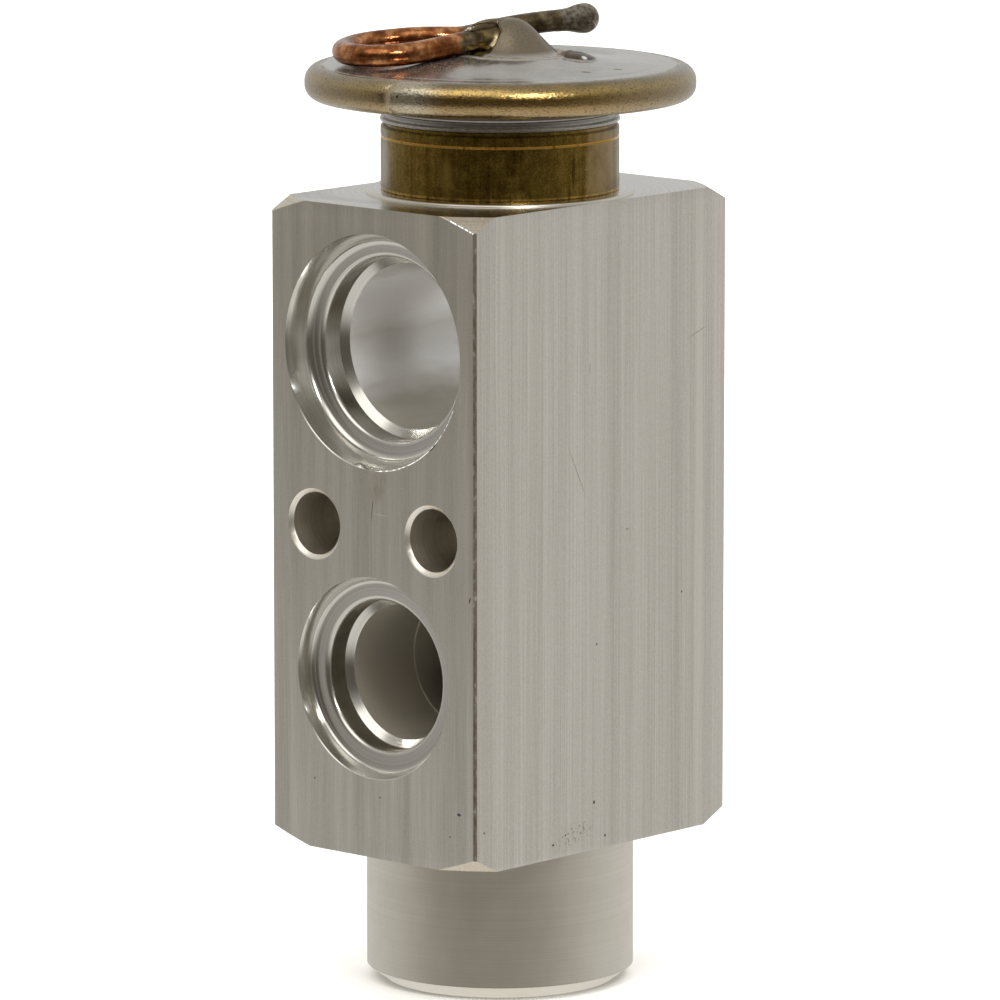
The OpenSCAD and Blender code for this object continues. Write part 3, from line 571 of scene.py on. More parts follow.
# %% Aluminium, turned foot
# smoother than the sides, and a touch warmer, as turned metal looks beside brushed metal
turned_foot, tree, shader, place = metal("turned_aluminium_foot", 0.34)
rings = grain(tree, round_place(tree, place, 2), (0.3, 9, 0.14), 3.0)
cloud = grain(tree, place, (3.0, 3.0, 5.0), 2.0, 4.0)
tone = put(tree, "ShaderNodeMix", {"data_type": "FLOAT"}, {"Factor": 0.4, 2: rings, 3: cloud}).outputs[0]
colour = put(tree, "ShaderNodeValToRGB", {"stops": [(0.3, "e1dccf"), (0.7, "f1ece0")]}, {"Fac": tone}).outputs[0]
tree.links.new(colour, shader.inputs["Base Color"])
bump(tree, shader, rings, 0.003)

# %% [markdown]
# The bar's four corners were cut back to a cone at both ends. The tool met them one after
# the other, with a knock each time, so this is the roughest cut on the block. Rings and
# specks are mixed and given four times as much relief as on the side.

# %% Aluminium, rough corners
# dull and grainy, so that the corner never flashes and reads as a rough cut
cone, tree, shader, place = metal("rough_aluminium_corner", 0.48)
rings = grain(tree, round_place(tree, place, 2), (0.2, 9, 0.2), 3.0)
specks = grain(tree, place, (0.25, 0.25, 0.25), 3.0, 6.0)
tone = put(tree, "ShaderNodeMix", {"data_type": "FLOAT"}, {"Factor": 0.6, 2: rings, 3: specks}).outputs[0]
colour = put(tree, "ShaderNodeValToRGB", {"stops": [(0.3, "cfc5b2"), (0.5, "e6dece"), (0.7, "f8f1e4")]},
             {"Fac": tone}).outputs[0]
tree.links.new(colour, shader.inputs["Base Color"])
bump(tree, shader, tone, 0.02)

# %% [markdown]
# A form tool cut the steps of each port in one plunge, which leaves them the shiniest of
# all. The two ports have different axes, so the rings of each are drawn about its own axis,
# and the height of a place decides which of the two is used.

# %% Aluminium, turned ports
# shiny, so that each step of the port gets a bright arc and a dark one
port, tree, shader, place = metal("turned_aluminium_port", 0.19)
low = put(tree, "ShaderNodeSeparateXYZ", None, {0: place}).outputs["Z"]
is_top = shift(tree, low, 0, 1, 51.1, 51.3)
about_low = round_place(tree, place, 1, (0, 0, inlet_z / MM))
about_top = round_place(tree, place, 1, (0, 0, suction_z / MM))
either = put(tree, "ShaderNodeMix", {"data_type": "VECTOR"},
             {"Factor": is_top, 4: about_low, 5: about_top}).outputs[1]
rings = grain(tree, either, (0.16, 9, 0.3), 2.0)
colour = put(tree, "ShaderNodeValToRGB", {"stops": [(0.3, "c9c7c0"), (0.7, "dddbd5")]}, {"Fac": rings}).outputs[0]
tree.links.new(colour, shader.inputs["Base Color"])
bump(tree, shader, rings, 0.002)

# %% [markdown]
# The bolt holes are drilled right through. The drill leaves coarser rings, and the wall
# stays pale because light gets in from both ends.

# %% Aluminium, drilled bolt holes
# a light satin wall, with rings that show which way the drill went
bolt_hole, tree, shader, place = metal("drilled_aluminium_bolt_hole", 0.36)
rings = grain(tree, round_place(tree, place, 1, (0, 0, bolt_z / MM)), (9, 9, 0.3), 3.0)
colour = put(tree, "ShaderNodeValToRGB", {"stops": [(0.3, "ece6da"), (0.7, "fffaef")]}, {"Fac": rings}).outputs[0]
tree.links.new(colour, shader.inputs["Base Color"])
bump(tree, shader, rings, 0.01)

# %% [markdown]
# The wide bores lie deep in the block, where the walls mirror one another in bands. Those
# bands could come from the tent alone, but they would be too dark, so part of them is in the
# colour: it changes with height, and a smeared noise bends the bands a little.

# %% Aluminium, drilled bores
# half metal and half pale paint to the shader, so that the depths stay light as in the photo
bore, tree, shader, place = metal("drilled_aluminium_bore", 0.34, 0.6)
rings = grain(tree, round_place(tree, place, 1, (0, 0, suction_z / MM)), (9, 9, 0.25), 3.0)
smears = grain(tree, place, (7.0, 14.0, 4.0), 3.0, 14.0)
level = put(tree, "ShaderNodeSeparateXYZ", None, {0: place}).outputs["Z"]
level = put(tree, "ShaderNodeMath", {"operation": "MULTIPLY_ADD"}, {0: smears, 1: 5.0, 2: level}).outputs[0]
colour = put(tree, "ShaderNodeValToRGB", {"stops": [
    (0.0, "b8b1a3"), (0.12, "c8c4ba"), (0.3, "ffffff"), (0.5, "e6e4df"), (0.64, "ffffff"), (0.8, "ffffff"),
    (0.97, "bab6ac")]},
    {"Fac": shift(tree, level, 0, 1, suction_z / MM - 6.5, suction_z / MM + 11.5)}).outputs[0]
nick = mark(tree, place, (5.5, -14.0, suction_z / MM + 1.6), (4.0, 0.35, 0.12))
colour = blend(tree, nick, colour, "5a5348")
tree.links.new(colour, shader.inputs["Base Color"])
bump(tree, shader, rings, 0.003)

# %% [markdown]
# Where the corner was knocked the metal is new. A clean facet would mirror one spot of the tent and could be dark by
# chance, so it is drawn as plain white with a few grey breaks: a painted highlight.

# %% Bright fresh cut
# white and not mirror-like, so that it shines from every side
fresh_cut, tree, shader, place = metal("fresh_cut_painted_highlight", 0.35, 0.0)
breaks = grain(tree, place, (0.45, 0.45, 0.45), 0.0, 3.0)
colour = put(tree, "ShaderNodeValToRGB", {"stops": [(0.45, "8f8a80"), (0.48, "ffffff"), (0.8, "ffffff")]},
             {"Fac": breaks}).outputs[0]
tree.links.new(colour, shader.inputs["Base Color"])

# %% [markdown]
# The four upright edges are painted darker than the faces and blotchy, with lighter nicks, and that gives the block
# a thin darker outline. This darker tone is painted shade along the edges.

# %% Edge strips with painted shade
# dark and blotchy: painted shade along the edge, with lighter nicks in it
edge, tree, shader, place = metal("dull_edge_painted_shade", 0.5)
nicks = grain(tree, place, (0.4, 0.4, 1.1), 4.0, 2.0)
colour = put(tree, "ShaderNodeValToRGB", {"stops": [(0.35, "877b6c"), (0.58, "a0968a"), (0.72, "ddd6cb")]},
             {"Fac": nicks}).outputs[0]
tree.links.new(colour, shader.inputs["Base Color"])
bump(tree, shader, nicks, 0.03)
# %% [markdown]
# The finishes are now handed over in the order in which the tools were numbered. The piece
# stands in for the CAD block and rides on the housing. It could also be kept beside the CAD
# block, but two surfaces in the same place would flicker.

# %% The block as a piece
piece("dressed_block", block, [port_face, side, top_face, turned_foot, port, cone, bore, bolt_hole, fresh_cut, edge],
      "housing", "valve_block", sharp=24, slot="block", creases=kept_sharp)

# %% [markdown]
# ## The upper shell
# The lid of the head is pressed from thin stainless steel: a slightly crowned disc with a
# faint step near its edge, and a bell-shaped dome with a hood that takes the thin tube. A
# disc is spun with many rings, and its top is then drawn up point by point, as a press does.

# %% Where the dome and the hood stand
dome_centre = right * 1.2 * MM
hood_root = on_head(-0.9, -0.6, 2.93)
hood_way = (on_head(-4.2, -2.75, 2.46) - hood_root).normalized()
flat_way = Vector((hood_way.x, hood_way.y, 0)).normalized()
flat_side = Vector((-flat_way.y, flat_way.x, 0))


def soft_step(value, start, end):
    """0 before start, 1 after end, and smooth between."""
    t = min(max((value - start) / (end - start), 0.0), 1.0)
    return t * t * (3 - 2 * t)


def soft_max(a, b, width):
    """The larger of two heights, with a fillet of about width between them."""
    h = max(width - abs(a - b), 0.0) / width
    return max(a, b) + h * h * width * 0.25


print("middle of the dome:", [round(v, 2) for v in dome_centre / MM], "mm")

# %% [markdown]
# The disc bulges a little in its middle, and near its edge the press left a step of a
# twentieth of a millimetre. It is hardly there, but the mirrored tent shows every slope.

# %% Plain disc
def crown(r):
    """Height of the plain disc over the rim's top, in millimetres, at radius r."""
    return 1.43 / (1 + (r / 11) ** 4) - 0.2 - 0.05 * soft_step(r, 16.75, 17.0)


print("crown in the middle:", round(crown(0.0), 2), "mm over the rim")

# %% [markdown]
# The tube enters the dome through a hood, which is a round roof over the tube. Its mouth is
# cut slantwise and opens towards the front. It could be cut out of the mesh with a boolean,
# but the lid is a height over a flat place, so a soft step down does the same and stays clean.

# %% Hood and its mouth
def on_hood(spot):
    """How far a spot is along the tube's way out of the dome, and how far to its front side."""
    rest = Vector((spot.x - hood_root.x, spot.y - hood_root.y, 0))
    return rest.dot(flat_way) / MM, rest.dot(flat_side) / MM


def in_mouth(along, aside):
    """1 where the hood is cut open in front of the tube, 0 elsewhere, and soft at its edge."""
    past = max(aside - 1.85, 0.0)
    start = -0.6 + 0.3 * min(aside, 1.85) + 1.6 * past + 1.2 * past ** 3
    under_hood = 0.55 - 0.15 * along
    return (soft_step(along, start - 0.05, start + 0.2) * soft_step(aside, under_hood - 0.12, under_hood + 0.12)
            * (1 - soft_step(along, 4.6, 5.4)))


print("mouth at its middle:", in_mouth(2.0, 1.5))

# %% [markdown]
# The dome is a bell, and where it meets the hood and the disc a small fillet joins them, as
# sheet metal can't be pressed into a sharp inner corner. A low flange runs round the dome's
# foot, and a flat drop of solder lies beside it.

# %% Height of the pressed lid
def lid_height(x, y):
    """Height of the pressed lid over the rim's top, in millimetres."""
    spot = Vector((x, y, 0)) * MM
    plain = crown(math.hypot(x, y))
    away = (spot - dome_centre).length / MM
    bell = 0.9 + 2.0 * (1 + math.cos(math.pi * min(away / 6.1, 1.0) ** 1.12)) if away < 6.1 else 0.0
    along, aside = on_hood(spot)
    crest = 4.9 - 0.09 * max(along, 0.0) ** 2
    hood = 0.0
    if -4.2 < along < 4.2 and abs(aside) < 2.7:
        hood = 1.1 + (crest - 1.1) * 0.5 * (1 + math.cos(math.pi * (abs(aside) / 2.7) ** 1.1))
        hood = 1.1 + (hood - 1.1) * (1 - soft_step(along, 3.4, 3.8)) * soft_step(along, -4.2, -2.0)
    high = soft_max(bell, hood, 0.25) if hood > 1.1 else bell
    mouth = in_mouth(along, aside)
    pad = plain + 0.3 * (1 - soft_step(along, 2.5, 3.0)) * (1 - soft_step(aside, 3.0, 3.4))
    high = high + (pad - high) * mouth
    flange = 0.12 * soft_step(away, 5.5, 5.7) * (1 - soft_step(away, 6.5, 6.7)) * (1 - mouth)
    tongue = spot - right * 8.4 * MM + back * 2.0 * MM
    flat = (tongue.dot(right) / MM / 2.05) ** 2 + (tongue.dot(back) / MM / 2.4) ** 2
    blob = 0.6 * max(1 - flat, 0.0) ** 0.6
    return soft_max(plain, high, 0.12) + (flange + blob if high < plain + 0.2 else 0.0)


dome_top = lid_height(*(dome_centre.xy / MM))
print("top of the dome:", round(dome_top, 2), "mm over the rim")

# %% [markdown]
# Round pieces are spun from half of their outline, as on a lathe. A cylinder could be squeezed
# into shape as well, but an outline can be measured, point by point, on the photograph.

# %% Lathe
def lathe(outline, steps, closed=True):
    """Spins an outline of (radius, height) points, in metres, about the upright axis."""
    turned = bmesh.new()
    points = [turned.verts.new((r, 0, z)) for r, z in outline]
    pairs = list(zip(points, points[1:]))
    if closed:
        pairs.append((points[-1], points[0]))
    edges = [turned.edges.new(pair) for pair in pairs]
    bmesh.ops.spin(turned, geom=points + edges, cent=(0, 0, 0), axis=(0, 0, 1), dvec=(0, 0, 0),
                   angle=math.tau, steps=steps, use_merge=True)
    bmesh.ops.remove_doubles(turned, verts=turned.verts, dist=1e-7)
    bmesh.ops.recalc_face_normals(turned, faces=turned.faces)
    return turned


print("the lathe is ready")

# %% [markdown]
# The disc gets its finest rings where the dome will rise, as only there the height changes
# fast. It could be cut as finely all over, but that would take many more faces for the same
# look. The part of the hood's mouth that the braze wetted gets the braze's colour.

# %% Draw up the lid
lid_r = 19.3
rings_of_lid = [0.0] + [0.1 * i for i in range(1, 76)] + [7.5 + 0.16 * i for i in range(1, 29)]
rings_of_lid += [12.5 + 0.5 * i for i in range(8)]
rings_of_lid += [16.2, 16.5, 16.7, 16.8, 16.9, 17.0, 17.1, 17.3, 17.8, 18.4, 19.0, lid_r]
lid_outline = [(r * MM, 0) for r in rings_of_lid]
lid_outline += [(lid_r * MM, -2.05 * MM), (15.6 * MM, -2.05 * MM), (12.6 * MM, -1.2 * MM), (0.0, -1.2 * MM)]
lid = lathe(lid_outline, 320, closed=False)
for vert in lid.verts:
    if vert.co.z > -0.1 * MM and vert.co.xy.length < 19.4 * MM:
        vert.co.z = lid_height(vert.co.x / MM, vert.co.y / MM) * MM
drawn = [v for v in lid.verts if v.co.z > 0.9 * MM and v.co.xy.length < 7.4 * MM]
bmesh.ops.smooth_vert(lid, verts=drawn, factor=0.5, use_axis_x=False, use_axis_y=False, use_axis_z=True)
GOLD = 1
for face in lid.faces:
    spot = face.calc_center_median()
    along, aside = on_hood(spot)
    if spot.z > 0.9 * MM and 0.5 < in_mouth(along, aside) and along < 3.2:
        face.material_index = GOLD
bmesh.ops.translate(lid, verts=lid.verts, vec=(0, 0, rim_z))
print("lid top:", round((max(v.co.z for v in lid.verts) - rim_z) / MM, 3), "mm over the rim")

# %% [markdown]
# The golden funnel is the braze that was drawn in between the tube and the dome. Its outer edge
# follows the opening in the dome, which is cut slantwise, so it is no plain round form: a ring
# is spun, and each point is then moved to where the opening's edge and the tube are on that side.

# %% Braze funnel round the tube's entry
mouth_edge = [  # angle round the tube from its front side up, distance from its middle, distance along it
    (-180, 1.3, 0.8), (-90, 1.62, 2.8), (-60, 1.95, 2.75), (-25.5, 2.97, 2.34), (-19.8, 2.82, 1.83),
    (-11.7, 2.56, 1.33), (-1, 2.35, 0.84), (12.6, 2.15, 0.36), (24.4, 2.03, 0.03), (37.7, 1.83, -0.17),
    (52, 1.66, -0.4), (66, 1.58, -0.45), (70, 1.73, 0.0), (74.5, 1.86, 0.9), (81, 1.86, 1.6), (84, 1.73, 2.3),
    (92, 1.35, 2.8), (120, 1.3, 1.0), (180, 1.3, 0.8)]


def at_angle(angle):
    """The opening's edge at an angle, between the two nearest known places."""
    for (a0, r0, z0), (a1, r1, z1) in zip(mouth_edge, mouth_edge[1:]):
        if angle <= a1:
            t = (angle - a0) / (a1 - a0)
            return r0 + (r1 - r0) * t, z0 + (z1 - z0) * t
    return mouth_edge[-1][1:]


def aimed(shape, start, way):
    """Turns an upright lathe form so that it starts at start and points along way."""
    turned = way.to_track_quat("Z", "Y").to_matrix().to_4x4()
    shape.transform(Matrix.Translation(start) @ turned)
    return shape


lip_outline = [((3 - 2 * k / 18) * MM, k / 18 * MM) for k in range(19)] + [(1.0 * MM, 2 * MM), (2.5 * MM, 3 * MM)]
lip = lathe(lip_outline, 240)
for vert in lip.verts:
    angle = math.atan2(vert.co.y, vert.co.x)
    edge_r, edge_z = at_angle(math.degrees(angle))
    t = vert.co.z / MM
    if t > 1.5:
        out, along = (1.12, -1.3) if t < 2.5 else (1.3, -1.3)
    else:
        tube_z = 1.6 + 0.5 * min(abs(math.degrees(angle) - 25) / 65, 1.3) ** 2
        out = 1.19 + (edge_r - 1.19) * (1 - soft_step(t, -0.35, 1.0)) / (1 - soft_step(0, -0.35, 1.0))
        settle = soft_step(t, 0.35, 1.0)
        dip = (0.6 + 0.25 * max(edge_z, 0.0)) * max(math.sin(math.pi * t), 0.0) ** 1.3
        along = edge_z * (1 - settle) + tube_z * settle - dip + 0.07 * math.sin(math.pi * min(t / 0.22, 1.0))
    vert.co = Vector((out * math.cos(angle), out * math.sin(angle), along)) * MM
bmesh.ops.recalc_face_normals(lip, faces=lip.faces)
lip = aimed(lip, hood_root, hood_way)
print("funnel points:", len(lip.verts))

# %% [markdown]
# Braze is a golden alloy that was melted into the gap. Next to the tube it is painted dark brown, as painted shade
# in the recess under the hood; it is palest where it is thickest, and it goes brown again towards the steel. Its
# colour is therefore set by the distance from the tube's middle, with some noise so that no ring shows.

# %% Golden braze
# satin gold, the one warm spot on the lid, so that the eye finds the joint
braze, tree, shader, place = metal("golden_braze", 0.34)
offset = put(tree, "ShaderNodeVectorMath", {"operation": "SUBTRACT"}, {0: place, 1: hood_root / MM}).outputs[0]
ahead = put(tree, "ShaderNodeVectorMath", {"operation": "DOT_PRODUCT"}, {0: offset, 1: hood_way}).outputs["Value"]
ahead = put(tree, "ShaderNodeVectorMath", {"operation": "SCALE"}, {0: hood_way, "Scale": ahead}).outputs[0]
offset = put(tree, "ShaderNodeVectorMath", {"operation": "SUBTRACT"}, {0: offset, 1: ahead}).outputs[0]
off_tube = put(tree, "ShaderNodeVectorMath", {"operation": "LENGTH"}, {0: offset}).outputs["Value"]
patches = grain(tree, place, (0.7, 0.7, 0.7), 3.0)
off_tube = put(tree, "ShaderNodeMath", {"operation": "MULTIPLY_ADD"}, {0: patches, 1: 0.4, 2: off_tube}).outputs[0]
# painted shade: dark brown next to the tube, in the recess under the hood
colour = put(tree, "ShaderNodeValToRGB", {"stops": [
    (0.0, "85754f"), (0.1, "5f5139"), (0.3, "cdbd98"), (0.5, "b3a07a"), (0.72, "8a7858")]},
    {"Fac": shift(tree, off_tube, 0, 1, 1.35, 3.2)}).outputs[0]
tree.links.new(colour, shader.inputs["Base Color"])
bump(tree, shader, patches, 0.02)
piece("dressed_lip", lip, [braze], "housing", "socket_braze", sharp=60, slot="braze")

# %% [markdown]
# The disc is nearly a mirror, the dome was blasted or brushed to a satin grey-brown. One
# material does both, with a smooth change at the dome's foot, because it is one sheet. Two
# materials could meet there, but their border would be a hard line that no pressed lid has.

# %% Stainless steel, rolled and pressed
# a soft mirror on the disc and brown satin on the dome, with dirt and a painted shadow round the dome's foot
lid_steel, tree, shader, place = metal("pressed_stainless_lid", 0.12)
centre = tuple(dome_centre / MM)
about_dome = put(tree, "ShaderNodeVectorMath", {"operation": "SUBTRACT"}, {0: place, 1: centre}).outputs[0]
height = put(tree, "ShaderNodeSeparateXYZ", None, {0: place}).outputs["Z"]
flat = put(tree, "ShaderNodeVectorMath", {"operation": "MULTIPLY"}, {0: about_dome, 1: (1, 1, 0)}).outputs[0]
away = put(tree, "ShaderNodeVectorMath", {"operation": "LENGTH"}, {0: flat}).outputs["Value"]
on_dome = shift(tree, height, 0, 1, rim_z / MM + 1.25, rim_z / MM + 1.6)
specks = grain(tree, place, (0.12, 0.12, 0.12), 2.0)
smears = grain(tree, place, (4.0, 4.0, 4.0), 3.0, 5.0)
plate_colour = blend(tree, shift(tree, smears, 0, 1), "a29f98", "bcb9b2")
dome_colour = blend(tree, shift(tree, specks, 0, 1), "71675a", "9a8e79")
colour = blend(tree, on_dome, plate_colour, dome_colour)

# %% [markdown]
# Old solder and dirt stick beside the weld and in a few short dashes on the disc, and a dark patch lies where the
# flat drop of solder meets the flange. A ring round the dome's foot is painted dark as painted shadow. The flat drop
# of solder is painted darker than the steel, partly as painted shade for the dark that it mirrors, and a white spot
# on it is a painted highlight. Fine dust lies on the disc only. The dirt, the dust and the painted shadow are one
# value, so that they take the colour and the shine together.

# %% Dirt, painted shadow and painted highlight on the lid
dashes = largest(tree, [
    mark(tree, place, on_head(a, b, 0) / MM, (c, d, 3), (0, 0, turn + e)) for a, b, c, d, e in (
        (9.1, -10.3, 0.75, 0.5, 0.0), (12.5, -7.2, 0.7, 0.45, -0.1), (8.2, -17.9, 1.4, 0.3, 0.42),
        (10.2, -16.4, 0.7, 0.5, 0.5), (3.4, -12.1, 0.1, 0.2, 0.0), (-15.9, 2.2, 0.2, 0.4, 0.3))])
# the flat drop of solder, painted dark: partly solder's own colour, partly painted shade for the dark that it
# mirrors
tongue_solder_and_shade = mark(tree, place, on_head(8.4, -2.0, 1.2) / MM, (2.15, 2.5, 1.2), (0, 0, turn), 0.1)
# painted shadow: a dark ring round the dome's foot, broken up by noise
foot_painted_shadow = put(tree, "ShaderNodeMath", {"operation": "MULTIPLY"}, {
    0: shift(tree, away, 0, 1, 5.35, 5.7), 1: shift(tree, away, 1, 0, 6.3, 6.75)}).outputs[0]
foot_painted_shadow = put(tree, "ShaderNodeMath", {"operation": "MULTIPLY"}, {
    0: foot_painted_shadow, 1: shift(tree, grain(tree, place, (1.2, 1.2, 1.2), 3.0, 9.0), 0.35, 1.0, 0.4, 0.6)}).outputs[0]
dust = put(tree, "ShaderNodeMath", {"operation": "SUBTRACT"}, {
    0: shift(tree, specks, 0, 0.4, 0.46, 0.72), 1: on_dome}).outputs[0]
junction = mark(tree, place, on_head(6.45, -1.6, 1.0) / MM, (0.7, 1.7, 0.8), (0, 0, turn), 0.7)
from_middle = put(tree, "ShaderNodeSeparateXYZ", None, {0: round_place(tree, place, 2)}).outputs["X"]
outer_ring = put(tree, "ShaderNodeMath", {"operation": "MULTIPLY"}, {
    0: shift(tree, from_middle, 0, 1, 18.8, 19.1),
    1: shift(tree, grain(tree, place, (0.9, 0.9, 0.9), 4.0, 2.0), 0.2, 0.9, 0.4, 0.6)}).outputs[0]
# dirt and dust, with the painted shadow round the dome's foot
dirt = largest(tree, [dashes, foot_painted_shadow, junction, outer_ring, dust])
# painted highlight: a white spot on the solder drop
painted_glint = mark(tree, place, on_head(9.0, -3.7, 1.0) / MM, (0.42, 0.5, 0.7), (0, 0, turn), 0.6)
colour = blend(tree, tongue_solder_and_shade, colour, blend(tree, painted_glint, "564a3c", "ffffff"))
colour = blend(tree, dirt, colour, "5c4e39")
tree.links.new(colour, shader.inputs["Base Color"])
tree.links.new(shift(tree, dirt, 1, 0, 0, 1), shader.inputs["Metallic"])

# %% [markdown]
# The disc is smooth and the dome satin, and dirt takes the shine from both. The disc's slope
# follows the outline on the photograph, but what it mirrors there asks for a little more. The
# mesh could be bent for that, and would lose the outline, so the rest is given as relief.

# %% Shine of the lid
rough = put(tree, "ShaderNodeMix", {"data_type": "FLOAT"},
            {"Factor": on_dome, 2: shift(tree, smears, 0.07, 0.14), 3: 0.31}).outputs[0]
rough = put(tree, "ShaderNodeMix", {"data_type": "FLOAT"}, {"Factor": dirt, 2: rough, 3: 0.8}).outputs[0]
tree.links.new(rough, shader.inputs["Roughness"])
satin = put(tree, "ShaderNodeMath", {"operation": "MULTIPLY"}, {0: specks, 1: on_dome}).outputs[0]
satin = put(tree, "ShaderNodeMath", {"operation": "MULTIPLY"}, {0: satin, 1: 0.016}).outputs[0]
draft = shift(tree, from_middle, 0.0, -0.6, 7.0, 19.5)
bump(tree, shader, put(tree, "ShaderNodeMath", {"operation": "ADD"}, {0: satin, 1: draft}).outputs[0], 1.0)
piece("dressed_lid", lid, [lid_steel, braze], "housing", "upper_shell", sharp=50, slot="upper_shell")

# %% [markdown]
# ## The weld round the rim
# A bead of weld closes the head all round. It starts and ends where it laps over itself, left
# of the camera: the later end is thicker and rounded. The bead is spun as a round roll, and
# each point is then moved out by how thick the bead is there. Sculpting it by hand would also
# work, but a rule keeps it as round as the turning table did.

# %% Rim bead with its lap
bead_r, lap_right = 20.9, -11.9
lap_turn = math.atan2(-math.cos(math.asin(lap_right / bead_r)), lap_right / bead_r)
bead_mid = (head_z0 + rim_z) / 2


def lap(around, z):
    """How far the bead stands out there: thick after the lap, then slowly thinner."""
    gone = (around - lap_turn) % math.tau
    back_end = 1.8 * MM - math.sqrt(max((1.8 * MM) ** 2 - (z - bead_mid) ** 2, 0.0))
    past = (gone if gone < math.pi else gone - math.tau) * head_r - back_end
    start = soft_step(past, 0.0, 0.3 * MM) if gone < math.pi else 1.0
    groove = 0.9 * math.exp(-((past + 0.35 * MM) / (0.45 * MM)) ** 2) if past < 0.3 * MM else 0.0
    return start * (1 - 0.75 * soft_step(gone, 0.5, 5.5)) - groove


bead_outline = [(lid_r * MM, rim_z)]
for k in range(13):
    a = math.radians(90 - 90 * k / 12)
    bead_outline.append((head_r - 0.16 * MM - 1.7 * MM * (1 - math.cos(a)), rim_z - 1.75 * MM * (1 - math.sin(a))))
for k in range(13):
    a = math.radians(-90 * k / 12)
    bead_outline.append((head_r - 0.16 * MM - 1.5 * MM * (1 - math.cos(a)), head_z0 + 1.6 * MM * (1 + math.sin(a))))
bead_outline.append((lid_r * MM, head_z0))
bead = lathe(bead_outline, 512)
for vert in bead.verts:
    if vert.co.xy.length > 19.35 * MM:
        seen_turn = math.atan2(vert.co.dot(back), vert.co.dot(right))
        out = 0.155 * MM * lap(seen_turn, vert.co.z)
        vert.co.xy += vert.co.xy.normalized() * out
print("bead radius:", round(max(v.co.xy.length for v in bead.verts) / MM, 3), "of", round(head_r / MM, 3))

# %% [markdown]
# Hot steel grows a thin skin of oxide, and its colour tells how hot it was: straw, gold, then
# brown. The bead cooled from its edges, so its colour runs in bands from bottom to top, and
# those bands are uneven. A ramp over the height, pushed about by a noise, gives both.

# %% Weld with a heat tint
# a glossy bead in straw and olive, which sets the head off from the pale block
weld, tree, shader, place = metal("heat_tinted_weld", 0.2)
parts = put(tree, "ShaderNodeSeparateXYZ", None, {0: place})
level = shift(tree, parts.outputs["Z"], 0, 1, head_z0 / MM, rim_z / MM)
patches = grain(tree, place, (2.5, 2.5, 1.0), 3.0, 3.0)
tone = put(tree, "ShaderNodeMath", {"operation": "MULTIPLY_ADD"}, {0: patches, 1: 0.3, 2: level}).outputs[0]
colour = put(tree, "ShaderNodeValToRGB", {"stops": [
    (0.1, "bfac88"), (0.36, "ab9269"), (0.6, "9b7d48"), (0.78, "c0a364"), (0.9, "a18d65"), (1.0, "857861")]},
    {"Fac": shift(tree, tone, 0, 1, 0.0, 1.15)}).outputs[0]

# %% [markdown]
# At the lap the later end kept its silver colour, and its pale patch is partly a painted highlight. The sides of the
# head are greyer, soot lies in small flecks, and four pits are the places where gas escaped from the weld.

# %% Marks on the weld
# silver of the later end, painted paler also as a painted highlight
lap_silver_and_sheen = mark(tree, place, on_head(-9.6, -18.6, -1.2) / MM, (4.6, 4.6, 4.6), (0, 0, 0), 0.95)
colour = blend(tree, lap_silver_and_sheen, colour, "cfc7b2")
tree.links.new(shift(tree, lap_silver_and_sheen, 0.2, 0.13, 0.0, 1.0), shader.inputs["Roughness"])
grey_sides = put(tree, "ShaderNodeVectorMath", {"operation": "DOT_PRODUCT"}, {0: place, 1: right}).outputs["Value"]
grey_sides = put(tree, "ShaderNodeMath", {"operation": "ABSOLUTE"}, {0: grey_sides}).outputs[0]
colour = blend(tree, shift(tree, grey_sides, 0.0, 0.55, 9.0, 17.0), colour, "a59c88")
soot = shift(tree, grain(tree, place, (0.2, 0.3, 0.16), 3.0, 5.0), 0.0, 0.75, 0.52, 0.68)
colour = blend(tree, soot, colour, "5f5138")
pits = largest(tree, [
    mark(tree, place, on_head(a, -math.sqrt(bead_r ** 2 - a * a), z) / MM, (0.22, 0.6, 0.2))
    for a, z in ((-10.7, -1.5), (-18.7, -0.6), (2.5, -0.35), (14.5, -2.2))])
colour = blend(tree, pits, colour, "6a5c44")
tree.links.new(colour, shader.inputs["Base Color"])
ripples = grain(tree, place, (0.42, 0.42, 0.3), 4.0, 8.0)
bump(tree, shader, ripples, 0.05)
piece("dressed_rim", bead, [weld], "housing", "rim_weld", sharp=60, slot="rim_weld")

# %% [markdown]
# ## The charge tube
# A thin copper tube was used to fill the head with gas, then bent into a loop, closed, and
# sealed with a drop of solder. It is drawn as a smooth curve with a round section, since a
# bent tube keeps its thickness all along. The knots are read off the photograph.

# %% Charge tube along its route
tube_r = 1.2
tube_route = [
    (-0.9, -0.6, 2.93), (-4.2, -2.75, 2.46), (-7.5, -4.95, 1.99), (-10.2, -6.6, 1.72), (-13, -6.9, 1.56),
    (-15.6, -5.1, 1.5), (-16.75, -2.1, 1.5), (-16.2, 1, 1.62), (-14.3, 3.4, 1.85), (-11.6, 4.6, 2.05),
    (-8.9, 4.8, 2.25), (-6.4, 4.9, 2.28), (-4.1, 5.5, 2.25), (-1.6, 6.5, 2.68), (0.9, 7.6, 3.1),
    (4.5, 9.9, 3.4), (8.3, 12.4, 3.5)]
curve = bpy.data.curves.new("tube_route", "CURVE")
curve.dimensions = "3D"
curve.bevel_depth = tube_r * MM
curve.bevel_resolution = 8
curve.resolution_u = 8
curve.use_fill_caps = True
line = curve.splines.new("BEZIER")
line.bezier_points.add(len(tube_route) - 1)
for knot, spot in zip(line.bezier_points, tube_route):
    knot.co = on_head(*spot)
    knot.handle_left_type = knot.handle_right_type = "AUTO"
holder = bpy.data.objects.new("tube_route", curve)
bpy.context.scene.collection.objects.link(holder)
bpy.context.view_layer.update()
tube = bmesh.new()
tube.from_mesh(holder.to_mesh())
